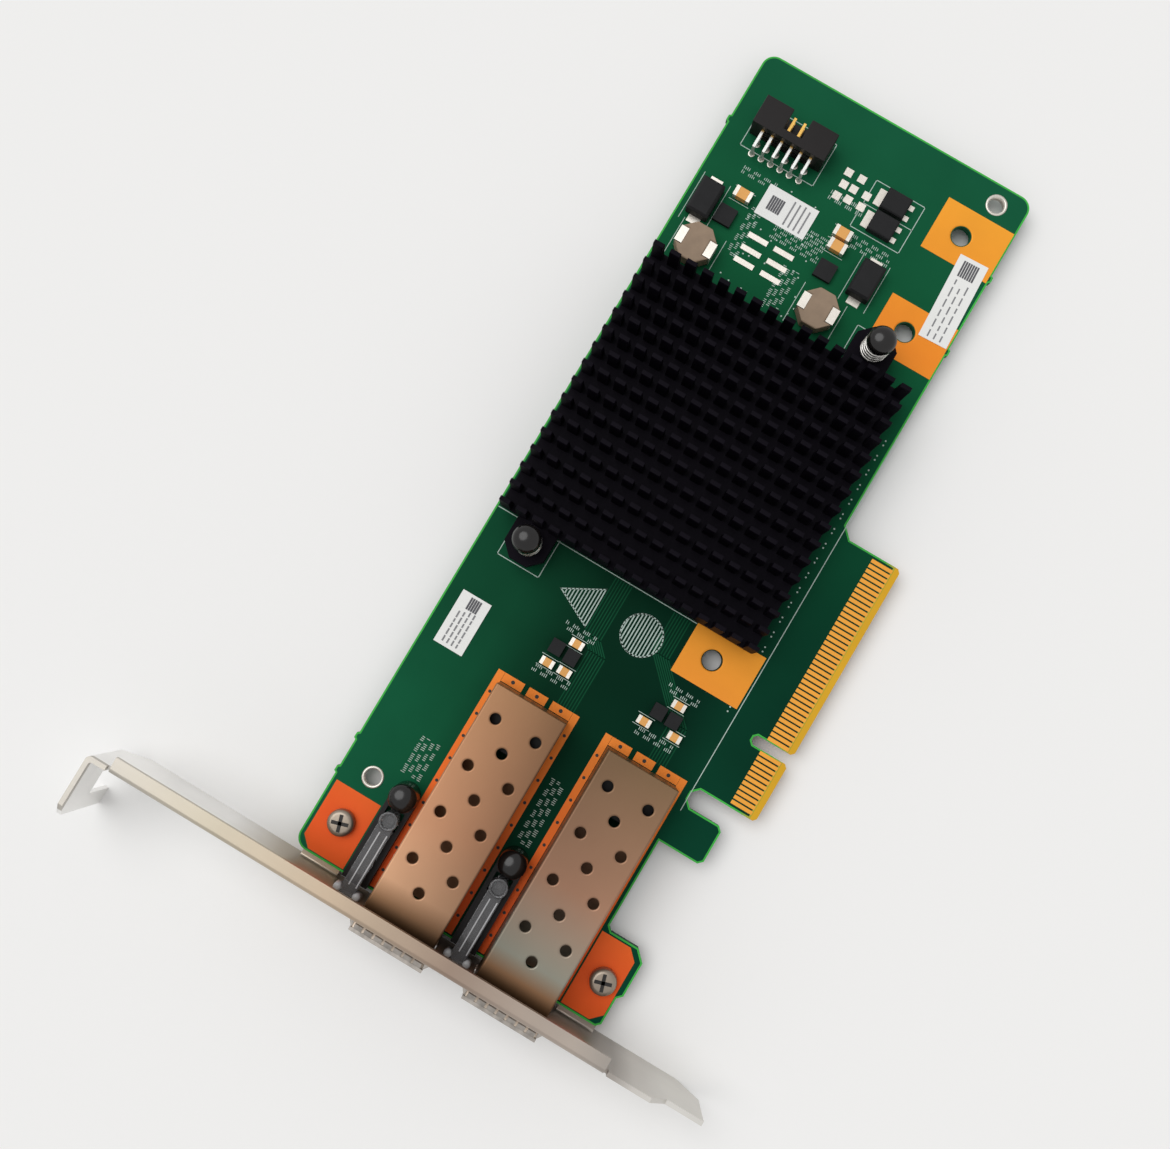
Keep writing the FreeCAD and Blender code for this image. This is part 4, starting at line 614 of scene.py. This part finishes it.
def loops_at(name, level):
    """Closed outlines of the flat faces at one height, longest first, as (x, y) rows."""
    shell = merged(nodes[name].data)
    rim = []
    for edge in shell.edges:
        flat = all(abs(point.co.z / MM - level) < 0.005 for point in edge.verts)
        upward = [face for face in edge.link_faces if face.normal.z > 0.99]
        if flat and len(upward) == 1:
            rim.append(edge)
    beside = {}
    for edge in rim:
        first, second = edge.verts
        beside.setdefault(first, []).append(second)
        beside.setdefault(second, []).append(first)
    loops = []
    while beside:
        start = next(iter(beside))
        loop = [start]
        ahead = beside.pop(start)[0]
        while ahead in beside:
            loop.append(ahead)
            ahead = next((point for point in beside.pop(ahead) if point in beside), start)
        loops.append(np.array([point.co[:2] for point in loop]) / MM)
    shell.free()
    return sorted(loops, key=lambda loop: -np.ptp(loop, axis=0).sum())


board_loops = loops_at("circuit_board", TOP)
print("board outline of", len(board_loops[0]), "points and", len(board_loops) - 1, "holes")

# %% [markdown]
# Ink, tracks and the bare rim are flat strips a hundredth of a millimetre above the
# board. A strip is a quad round each piece of a polyline, half a width to either side
# and half a width past its ends, so that corners close.

# %% Flat strips, frames and discs
INK = TOP + 0.012


def strips(starts, ends, width, level=INK):
    """Quads from each start to each end, widened by the width and lengthened to match."""
    starts = np.atleast_2d(np.asarray(starts, float))
    ends = np.atleast_2d(np.asarray(ends, float))
    along = ends - starts
    along /= np.linalg.norm(along, axis=1, keepdims=True)
    across = np.stack([-along[:, 1], along[:, 0]], -1)
    half = width / 2
    corners = np.stack([
        starts - half * along - half * across, ends + half * along - half * across,
        ends + half * along + half * across, starts - half * along + half * across,
    ], 1)
    points = at_level(corners, level)
    return points, np.arange(len(points)).reshape(-1, 4)


def polyline(points, width, closed=False, level=INK):
    """Strip along a list of points."""
    points = np.asarray(points, float)
    following = np.roll(points, -1, axis=0)
    last = len(points) if closed else len(points) - 1
    return strips(points[:last], following[:last], width, level)


def frame_line(middle, size, width=0.16):
    """Closed rectangle of ink round a middle."""
    half = np.asarray(size, float) / 2
    corners = np.asarray(middle, float) + half * np.array([[-1, -1], [1, -1], [1, 1], [-1, 1]])
    return polyline(corners, width, closed=True)


def disc(centre, radius, level=INK, sides=20):
    """Flat disc as a fan of thin quads between opposite sides."""
    half = sides // 2
    angle = np.pi * np.arange(half + 1) / half
    rows = np.stack([circle(centre, radius, angle), circle(centre, radius, -angle)], 1)
    return at_level(rows, level), grid_faces(half + 1, 2)


def inward(loop, distance):
    """Closed outline moved to its inside: each point goes along the bisector of its two
    sides, further where the corner is sharp."""
    before = loop - np.roll(loop, 1, axis=0)
    after = np.roll(loop, -1, axis=0) - loop
    before /= np.linalg.norm(before, axis=1, keepdims=True)
    after /= np.linalg.norm(after, axis=1, keepdims=True)
    turn = np.sum(loop[:, 0] * np.roll(loop[:, 1], -1) - loop[:, 1] * np.roll(loop[:, 0], -1))
    side = 1 if turn > 0 else -1
    normal = side * np.stack([-(before + after)[:, 1], (before + after)[:, 0]], -1)
    normal /= np.linalg.norm(normal, axis=1, keepdims=True)
    facing = side * np.stack([-after[:, 1], after[:, 0]], -1)
    stretch = np.maximum(np.sum(normal * facing, axis=1, keepdims=True), 0.5)
    return loop + normal * distance / stretch


# %% [markdown]
# Along the rim the lacquer stops short and the bare laminate shows as a lime line, painted
# bright as a highlight of the lit edge. The printed lines outline the header, the heat sink and
# the push pins, and a few rows of short ticks stand where small marks are printed on such a
# card. None of them is a word.

# %% Rim and printed lines
RIM = 0.32
TICK_PITCH = 0.36


def rim_strip():
    """Strip between the board's outline and the same outline moved inwards."""
    outer = board_loops[0]
    inner = inward(outer, RIM)
    rows = np.stack([outer, inner], 1)
    rows = np.concatenate([rows, rows[:1]], 0)
    return at_level(rows, INK - 0.004), grid_faces(len(rows), 2)


def tick_rows(corner, along, spacing, rows, groups, pitch, seed):
    """Rows of short ticks in groups, laid out from one corner along X or Y. The wave of a
    sine leaves a gap after every few ticks, and chance sets how tall each tick is."""
    chance = np.random.default_rng(seed)
    along = np.array(along, float)
    across = along[::-1] * spacing
    row, column = np.meshgrid(np.arange(rows), np.arange(int(groups * pitch / TICK_PITCH)), indexing="ij")
    keep = np.sin(column * 1.05 + row * 2.0) > -0.75
    row, column = row[keep][:, None], column[keep][:, None]
    start = np.asarray(corner, float) + row * across + column * along * TICK_PITCH
    reach = across * chance.uniform(0.35, 0.62, len(row))[:, None]
    return strips(start, start + reach, 0.13)


def hatched(outline, pitch, width):
    """Lines at one pitch across a convex outline, each cut off where it meets the edge."""
    outline = np.asarray(outline, float)
    beyond = np.roll(outline, -1, axis=0)
    starts, ends = [], []
    for level in np.arange(outline[:, 1].min() + pitch, outline[:, 1].max(), pitch):
        share = (level - outline[:, 1]) / (beyond[:, 1] - outline[:, 1] + 1e-9)
        meets = (share >= 0) & (share <= 1)
        places = (outline[:, 0] + share * (beyond[:, 0] - outline[:, 0]))[meets]
        if len(places) > 1 and np.ptp(places) > 2 * width:
            starts.append((places.min(), level))
            ends.append((places.max(), level))
    return strips(starts, ends, width)


EDGE_LINE_Y = 12.54
SINK_LINE_X = 12.6
ring = circle((5.7, 34.3), 3.9, np.linspace(0, 2 * np.pi, 32, endpoint=False))
triangle = np.array([[5.6, 51.1], [9.5, 44.0], [1.9, 43.9]])
lines = [
    strips([(-17.5, EDGE_LINE_Y)], [(60.5, EDGE_LINE_Y)], 0.16),
    strips([(SINK_LINE_X, 26.9)], [(SINK_LINE_X, 68.4)], 0.16),
    frame_line((97.2, middle_mm("header_housing")[1]), (9.0, 15.4)),
    frame_line((94.75, 34.6), (9.9, 10.2)),
    strips([(94.75, 29.5)], [(94.75, 39.7)], 0.14),
]
for outline, width in ((ring, 0.24), (triangle, 0.22)):
    lines += [polyline(outline, 0.22, closed=True), hatched(outline, 0.62, width)]
for number in (1, 2):
    lines.append(frame_line(middle_mm("push_pin_%d" % number)[:2], (8.6, 8.6)))
    x, y = middle_mm("power_inductor_%d" % number)[:2]
    lines += [strips([(x - 4.1, y + side)], [(x + 4.1, y + side)], 0.13) for side in (-4.4, 4.4)]
    low, high = box_mm("tantalum_capacitor_%d" % number)
    lines += [strips([(low[0] - 1.4, y)], [(high[0] + 1.4, y)], 0.13) for y in (low[1] - 0.5, high[1] + 0.5)]
for low, high in solids_mm("large_capacitors") + solids_mm("filter_capacitors"):
    x, y = (low + high)[:2] / 2
    half = (high - low)[:2] / 2 + (0.35, 1.0)
    lines += [strips([(x + side * half[0], y - half[1])], [(x + side * half[0], y + half[1])], 0.12)
              for side in (-1, 1)]

UP, ALONG = (0, 1), (1, 0)
TICKS = [
    ((80.5, 41.6), UP, 0.75, 7, 9, 1.15), ((74.0, 54.6), ALONG, 0.85, 3, 8, 1.3),
    ((88.3, 55.0), UP, 0.9, 2, 6, 1.2), ((86.4, 30.2), UP, 0.9, 3, 7, 1.2),
    ((68.6, 43.2), ALONG, 0.9, 4, 7, 1.3), ((-37.0, 55.2), ALONG, 1.05, 4, 7, 1.1),
    ((-37.0, 32.4), ALONG, 1.05, 3, 12, 1.1), ((-0.2, 41.0), UP, 0.9, 2, 6, 1.1),
    ((-9.6, 41.0), UP, 0.9, 2, 7, 1.1), ((-0.4, 19.4), UP, 0.9, 2, 6, 1.1),
    ((-9.9, 19.4), UP, 0.9, 2, 7, 1.1), ((92.2, 38.9), UP, 1.1, 2, 6, 1.2),
]
lines += [tick_rows(*block, seed) for seed, block in enumerate(TICKS, start=3)]
piece("board_rim", [rim_strip()], rim_laminate_and_highlight, smooth=False)
piece("printed_lines", lines, white_ink, smooth=False)
print(len(lines), "groups of printed lines")

# %% [markdown]
# Under the lacquer the copper shows as slightly lighter green. Two bundles of tracks run
# from the controller to the cages. Vias are bright dots along the contact edge and among
# the regulators; the ground frames beside the cages have vias of their own, dark discs painted as the shade
# in their holes.

# %% Tracks and vias
def track(start, end, width=0.22):
    """Track in three straight runs: out, slanting at 45 degrees in the middle, and on."""
    start, end = np.asarray(start, float), np.asarray(end, float)
    slant = (end - start)[1]
    middle = (start[0] + end[0]) / 2
    half = abs(slant) / 2 * np.sign(end[0] - start[0])
    corners = [start, (middle - half, start[1]), (middle + half, end[1]), end]
    return polyline(corners, width, level=INK - 0.006)


tracks = []
for step in 0.55 * np.arange(7):
    tracks.append(track((12.2, 40.2 + step), (-12.6, 37.8 + step)))
    tracks.append(track((12.2, 28.0 + step), (-12.6, 18.8 + step)))
piece("copper_tracks", tracks, track_green, smooth=False)

vias = []
chance = np.random.default_rng(21)
for column in np.arange(1.5, 60, 3.1):
    vias += [disc((column + 0.4, 14.2), 0.16), disc((column + 1.3, 14.2), 0.16)]
for x, y in np.column_stack([chance.uniform(64.5, 90, 40), chance.uniform(40, 57, 40)]):
    vias.append(disc((x, y), 0.16, INK - 0.003, 12))
piece("via_dots", vias, white_ink, smooth=False)

frame_top = box_mm("cage_ground_frames")[1][2]
# Painted shade: a dark disc on each ground frame for each via hole.
dark = []
for low, high in solids_mm("cage_ground_frames"):
    x, y = (low + high)[:2] / 2
    length, width = (high - low)[:2]
    if length < 10:
        dark.append(disc((x, y), 0.36, frame_top + 0.012))
    else:
        dark += [disc((low[0] + step, y), 0.3, frame_top + 0.012) for step in np.arange(3.5, length - 2, 4.6)]
piece("frame_via_shade", dark, painted_hole_shade, smooth=False)
print(len(tracks), "tracks and", len(vias) + len(dark), "vias")

# %% [markdown]
# The solids keep their small round holes many-sided. A rim lies over each of them: a
# flat ring whose inner edge is a true circle, turned down into the hole. It hides the
# corners, and the hole stays open.

# %% Round rims
def rims(name, level, depth, sides=40, most=6.0):
    """Ring over each hole of a node's faces at one height: from past the hole's corners to
    the circle inside its flats, and then down by the depth."""
    rings = []
    for loop in loops_at(name, level):
        centre = loop.mean(axis=0)
        if np.ptp(loop, axis=0).max() > most or len(loop) < 6:
            continue
        flats = (loop + np.roll(loop, -1, axis=0)) / 2
        inner = np.linalg.norm(flats - centre, axis=1).min()
        outer = np.linalg.norm(loop - centre, axis=1).max() + 0.12
        top = level + 0.012
        rings.append(turned([(outer, top), (inner, top), (inner, level - depth)], centre, sides))
    return rings


for number, material in ((1, cage_plate_1), (2, cage_plate_2)):
    roof = box_mm("port_cage_%d" % number)[1][2]
    piece("vent_rims_%d" % number, rims("port_cage_%d" % number, roof, 0.3), material)
pad_top = box_mm("fixing_pads")[1][2]
piece("fixing_hole_rims", rims("fixing_pads", pad_top, 1.5), gold)
ring_top = box_mm("tooling_hole_rings")[1][2]
collars = []
for low, high in solids_mm("tooling_hole_rings"):
    centre = (low + high)[:2] / 2
    collars.append(turned([(2.0, TOP), (2.0, ring_top), (1.53, ring_top), (1.53, 0.0)], centre, 40))
piece("round_tooling_rings", collars, tin, replaces=["tooling_hole_rings"])
print("rims on", len(collars), "tooling holes, two cages and the fixing pads")

# %% [markdown]
# Push pins and screws are turned parts, and a spring is a wire along a helix: a circle
# walked at a steady climb. A pin's head is a dome and a screw's is a pan with a dark
# cross painted on it as the shade in its recess. Each follows the solid that it replaces.

# %% Push pins, springs and screws
PIN_RADIUS, PIN_NECK = 2.55, 1.42
COIL_RADIUS, WIRE_RADIUS, COIL_TURNS = 2.25, 0.26, 4.5
PAN_RADIUS, PAN_CORNER, SHANK_RADIUS = 2.45, 0.9, 1.2
CROSS_REACH, CROSS_WIDTH, CROSS_TURN = 1.25, 0.66, 0.3


def helix(centre, radius, low, high, turns, steps_per_turn=28):
    """Points (cx + r cos t, cy + r sin t, z) with z climbing evenly with t."""
    t = np.linspace(0, 2 * np.pi * turns, int(turns * steps_per_turn) + 1)
    return np.column_stack([circle(centre, radius, t), low + (high - low) * t / t[-1]])


def pin_profile(low, high, radius, neck):
    """Foot, barb, shaft and domed head; the dome is a quarter of an ellipse."""
    seat = high - 2.6
    share = np.linspace(0, np.pi / 2, 14)
    dome = np.stack([radius * np.cos(share), seat + 0.75 + (high - seat - 0.75) * np.sin(share)], -1)
    foot = [(0, low), (neck * 0.8, low), (neck * 1.3, low + 1.2), (neck * 1.3, 0), (neck, 0), (neck, seat),
            (radius - 0.1, seat), (radius, seat + 0.1)]
    return np.vstack([foot, dome])


for number in (1, 2):
    low, high = box_mm("push_pin_%d" % number)
    centre = (low + high)[:2] / 2
    profile = pin_profile(low[2], high[2], PIN_RADIUS, PIN_NECK)
    piece("domed_pin_%d" % number, [turned(profile, centre, 48)],
          gloss_black, replaces=["push_pin_%d" % number])
    low, high = box_mm("push_pin_spring_%d" % number)
    coil = helix(centre, COIL_RADIUS, low[2] + 0.28, high[2] - 0.28, COIL_TURNS)
    piece("coil_%d" % number, [wire(coil, WIRE_RADIUS, 10)], spring_wire,
          replaces=["push_pin_spring_%d" % number])


def pan_head(centre, seat, top, radius):
    """Pan: an upright rim that rounds over into a slightly domed top."""
    rounding = circle((radius - PAN_CORNER, top - PAN_CORNER), PAN_CORNER, np.linspace(0, np.pi / 2, 10))
    return turned(np.vstack([[(0, seat), (radius, seat)], rounding, [(0, top + 0.02)]]), centre, 48)


heads, crosses = [], []
for low, high in solids_mm("bracket_screws"):
    centre = (low + high)[:2] / 2
    seat = TOP + 0.05
    shank = [(0, low[2]), (SHANK_RADIUS, low[2]), (SHANK_RADIUS, seat), (0, seat)]
    heads += [pan_head(centre, seat, high[2], PAN_RADIUS), turned(shank, centre, 24)]
    # Painted shade: the recess is a flat dark cross laid on the pan.
    for turn in (CROSS_TURN, CROSS_TURN + np.pi / 2):
        way = circle((0, 0), CROSS_REACH, turn)
        crosses.append(strips([centre - way], [centre + way], CROSS_WIDTH, high[2] + 0.035))
piece("pan_screws", heads, screw_plate, replaces=["bracket_screws"])
piece("screw_cross_shade", crosses, painted_hole_shade, smooth=False)
print("two pins, two coils and", len(crosses) // 2, "screws")

# %% [markdown]
# Each light pipe's holder carries a polished black ball, and a clear ring stands on the
# pipe beside it. Along the clear bar its moulded ridges are drawn as two flat pale streaks of
# painted highlight, and two milky feet stand at its end by the bracket.

# %% Light pipe details
BALL = 2.56
LENS_X = -44.8
LENS_INNER, LENS_OUTER = 1.25, 1.7
FOOT_LOW, FOOT_HIGH = 4.6, 7.2

for number in (1, 2):
    low, high = box_mm("light_pipe_holder_%d" % number)
    bar_low, bar_high = box_mm("light_pipe_%d" % number)
    y = (low + high)[1] / 2
    share = np.linspace(0, np.pi / 2, 14)
    dome = np.stack([BALL * np.cos(share), high[2] - 1.45 + 1.62 * np.sin(share)], -1)
    piece("pipe_ball_%d" % number, [turned(np.vstack([[(BALL, TOP)], dome]), (high[0] - 2.4, y), 48)],
          gloss_black)
    base = bar_high[2] + 0.02
    wall = [(LENS_INNER, base), (LENS_OUTER, base), (LENS_OUTER, bar_high[2] + 0.5),
            (LENS_INNER, bar_high[2] + 0.5), (LENS_INNER, base)]
    piece("pipe_ring_%d" % number, [turned(wall, (LENS_X, y), 40)], clear)
    # Painted highlights: two flat pale streaks along the top of the clear bar.
    highlight_streaks = [strips([(bar_low[0] + 3.0, y + side)], [(LENS_X - 2.4, y + side)], 0.22, base)
            for side in (-1.1, 0.35)]
    piece("pipe_streak_highlights_%d" % number, highlight_streaks, feet_plastic_and_streaks, smooth=False)
    foot = [(0, FOOT_LOW), (0.75, FOOT_LOW), (0.75, FOOT_HIGH - 0.3), (0.45, FOOT_HIGH), (0, FOOT_HIGH)]
    feet = [turned(foot, (bar_low[0] + 1.5, y + side), 24) for side in (-1.9, 1.9)]
    piece("pipe_feet_%d" % number, feet, feet_plastic_and_streaks)
print("light pipes finished")

# %% [markdown]
# Solder shines at the feet of the header's leads and of the cages' tails. Each foot is a
# small turned fillet, and the leads come out under the board. Two pairs of tails on each
# cage are solid, and the pair halfway is added here.

# %% Solder and the underside
def solder(centre, radius, high, level, way=1):
    """Fillet round a lead: a curve that falls quickly and runs out flat."""
    share = np.linspace(0, 1, 7)
    profile = np.stack([radius * (0.35 + 0.65 * share), level + way * high * (1 - share) ** 2.2], -1)
    return turned(np.vstack([[(0, profile[0, 1])], profile]), centre, 16)


def brick(low, high):
    """Plain box between two corners."""
    low, high = np.asarray(low, float), np.asarray(high, float)
    corner = np.array([[i, j, k] for i in (0, 1) for j in (0, 1) for k in (0, 1)])
    faces = np.array([[0, 1, 3, 2], [4, 6, 7, 5], [0, 4, 5, 1], [2, 3, 7, 6], [0, 2, 6, 4], [1, 5, 7, 3]])
    return low + corner * (high - low), faces


def tail_ranges(name):
    """Ranges in X and in Y that a cage's tails take up, each from low to high."""
    points = np.array([point.co[:] for point in nodes[name].data.vertices]) / MM
    tips = points[points[:, 2] < -1.3]
    ranges = []
    for axis in (0, 1):
        middle = (tips[:, axis].min() + tips[:, axis].max()) / 2
        halves = [tips[tips[:, axis] < middle][:, axis], tips[tips[:, axis] > middle][:, axis]]
        ranges.append([(half.min(), half.max()) for half in halves])
    return ranges


def post(centre, half, depth):
    """Upright brick under the board, from just below it down to a depth."""
    centre, half = np.array(centre), np.array(half)
    return brick((*(centre - half), -depth), (*(centre + half), -0.01))


feet, tails = [], []
for low, high in solids_mm("header_pins"):
    centre = np.array([low[0] + 0.32, (low[1] + high[1]) / 2])
    feet += [solder(centre, 0.62, 0.5, TOP + 0.01), solder(centre, 0.8, 0.5, -0.01, -1)]
    tails.append(post(centre, (0.3, 0.3), 1.2))
header_leads = len(tails)
for number in (1, 2):
    (front, rear), sides = tail_ranges("port_cage_%d" % number)
    halfway = (front[0] + rear[1]) / 2
    for low_y, high_y in sides:
        y = (low_y + high_y) / 2
        tails.append(post((halfway, y), (0.4, (high_y - low_y) / 2), 1.4))
        feet += [solder((x, y), 0.85, 0.4, -0.01, -1) for x in (sum(rear) / 2, halfway, sum(front) / 2)]
piece("lead_solder", feet, tin)
piece("lead_tails", tails, tin, smooth=False)

under_low, under_high = box_mm("underside_capacitors")
under_x, under_y = (under_low + under_high)[:2] / 2
places = [(step, 0) for step in (-6, 6)] + [(step, 4) for step in (-6, -2, 2, 6)]
blocks = [brick((under_x + x - 0.25, under_y + y - 0.25, -0.5), (under_x + x + 0.25, under_y + y + 0.25, 0))
          for x, y in places]
piece("more_underside_capacitors", blocks, ceramic, smooth=False)
print(header_leads, "header leads,", len(tails) - header_leads, "cage tails and", len(blocks),
      "capacitors under the board")

# %% [markdown]
# The three paper labels carry plain print: a dark square block and grey bars where such
# labels have a code and lines of type. Nothing on them can be read.

# %% Label print
def label_print(low, high, turn, block_at, block, bars_from, bars_to, rows, seed):
    """Dark block and rows of grey bars, in shares of the label's length and width."""
    chance = np.random.default_rng(seed)
    origin = np.array([low[0], low[1]])
    along = np.array([np.cos(turn), np.sin(turn)])
    across = np.array([-along[1], along[0]])
    size = np.array(high) - np.array(low)

    def place(u, v):
        return origin + u * size[0] * along + v * size[1] * across

    level = TOP + 0.175
    half = block / 2
    middle = place(*block_at)
    dark = [strips([middle - (half - 0.18) * along + step * across],
                   [middle + (half - 0.18) * along + step * across], 0.34, level)
            for step in np.arange(-half + 0.2, half, 0.46)]
    grey = []
    bars_from, bars_to = np.array(bars_from), np.array(bars_to)
    moving = int(np.argmax((bars_to - bars_from) * size))
    for share in (np.arange(rows) + 0.5) / rows:
        start = bars_from + share * (bars_to - bars_from)
        start[moving] = bars_from[moving]
        while start[moving] < bars_to[moving] - 0.03:
            end = start.copy()
            end[moving] = min(start[moving] + chance.uniform(0.04, 0.10), bars_to[moving])
            grey.append(strips([place(*start)], [place(*end)], 0.28, level))
            start[moving] = end[moving] + 0.05
    return dark, grey


blocks, bars = [], []
for low, high, turn, at, side, start, end, rows, seed in (
        ((83.0, 45.8), (89.2, 56.1), 0.0, (0.5, 0.74), 2.9, (0.12, 0.08), (0.88, 0.5), 4, 1),
        ((78.8, 13.2), (95.8, 18.9), np.radians(2.5), (0.86, 0.52), 3.2, (0.04, 0.18), (0.72, 0.84), 3, 2),
        ((-14.1, 60.2), (-3.5, 66.1), 0.0, (0.84, 0.48), 2.4, (0.08, 0.2), (0.7, 0.84), 4, 3)):
    dark, grey = label_print(low, high, turn, at, side, start, end, rows, seed)
    blocks += dark
    bars += grey
piece("label_blocks", blocks, label_ink, smooth=False)
piece("label_bars", bars, faded_ink, smooth=False)
print(len(blocks), "block strips and", len(bars), "bars")

# %% [markdown]
# The stage is a plain pale floor under the card, a soft lamp like a large window and a
# bright room all round. Rays that come straight from the camera, or by way of metal and
# glass, see a white room; the light on the card itself stays at a plain level, where a
# colour looks about as it is written.

# %% Floor, room and lamp
def stage_floor():
    """Large pale square just under the card's lowest point."""
    side = 1500.0
    corners = np.array([[-side, -side], [side, -side], [side, side], [-side, side]])
    heights = np.full((4, 1), cad_low[2] / MM - 0.02)
    mesh = bpy.data.meshes.new("studio_floor")
    mesh.from_pydata(np.hstack([corners, heights]) * MM, [], [(0, 1, 2, 3)])
    mesh.materials.append(finish("pale_floor", (0.89, 0.885, 0.875), roughness=0.9, specular=0.0,
                                 cloud=0.0, grain=0.0))
    floor = placed("studio_floor", mesh)


def room():
    """White to the camera and to mirrored and transmitted rays, plainer as a light."""
    world = bpy.data.worlds.new("studio_room")
    bpy.context.scene.world = world
    world.use_nodes = True
    tree = world.node_tree
    tree.nodes.clear()
    path = added(tree, "LightPath")
    seen = added(tree, "Math", "MAXIMUM")
    either = added(tree, "Math", "MAXIMUM")
    strength = added(tree, "MapRange", values={"To Min": 0.68, "To Max": 1.0})
    shine = added(tree, "Background")
    out = added(tree, "OutputWorld")
    link = tree.links.new
    link(path.outputs["Is Camera Ray"], seen.inputs[0])
    link(path.outputs["Is Glossy Ray"], seen.inputs[1])
    link(seen.outputs[0], either.inputs[0])
    link(path.outputs["Is Transmission Ray"], either.inputs[1])
    link(either.outputs[0], strength.inputs["Value"])
    link(strength.outputs[0], shine.inputs["Strength"])
    link(shine.outputs[0], out.inputs["Surface"])


def window_lamp():
    """Soft sun: wide enough that every shadow is a blur."""
    light = bpy.data.lights.new("window", "SUN")
    light.energy = 1.5
    light.angle = math.radians(50)
    lamp = placed("window", light)
    lamp.rotation_euler = Vector((0.10, 0.50, 1.0)).to_track_quat("Z", "Y").to_euler()


stage_floor()
room()
window_lamp()

# %% [markdown]
# The card is seen from nearly straight above, a little beyond its middle, with the
# bracket at the lower left. The camera is given by where it stands, the point it looks
# at and which way is up in the picture.

# %% Camera
CAMERA_AT = Vector((-1.526, 40.880, 224.550)) * MM
CAMERA_TO = Vector((10.00, 48.72, 0.0)) * MM
PICTURE_UP = Vector((0.85787, 0.51014, 0.06184))


def studio_camera():
    """Camera turned so that its view runs to the target and its upper side follows up."""
    lens = bpy.data.cameras.new("studio_camera")
    lens.lens = 38.14
    lens.sensor_width = 36
    lens.clip_start = 0.01
    camera = placed("studio_camera", lens)
    forward = (CAMERA_TO - CAMERA_AT).normalized()
    right = forward.cross(PICTURE_UP).normalized()
    upward = right.cross(forward)
    turn = Matrix((right, upward, -forward)).transposed()
    camera.matrix_world = Matrix.Translation(CAMERA_AT) @ turn.to_4x4()
    bpy.context.scene.camera = camera


studio_camera()

# %% [markdown]
# The picture keeps plain colours: what a material says is what shows.

# %% Colour and the end
bpy.context.scene.view_settings.view_transform = "Standard"
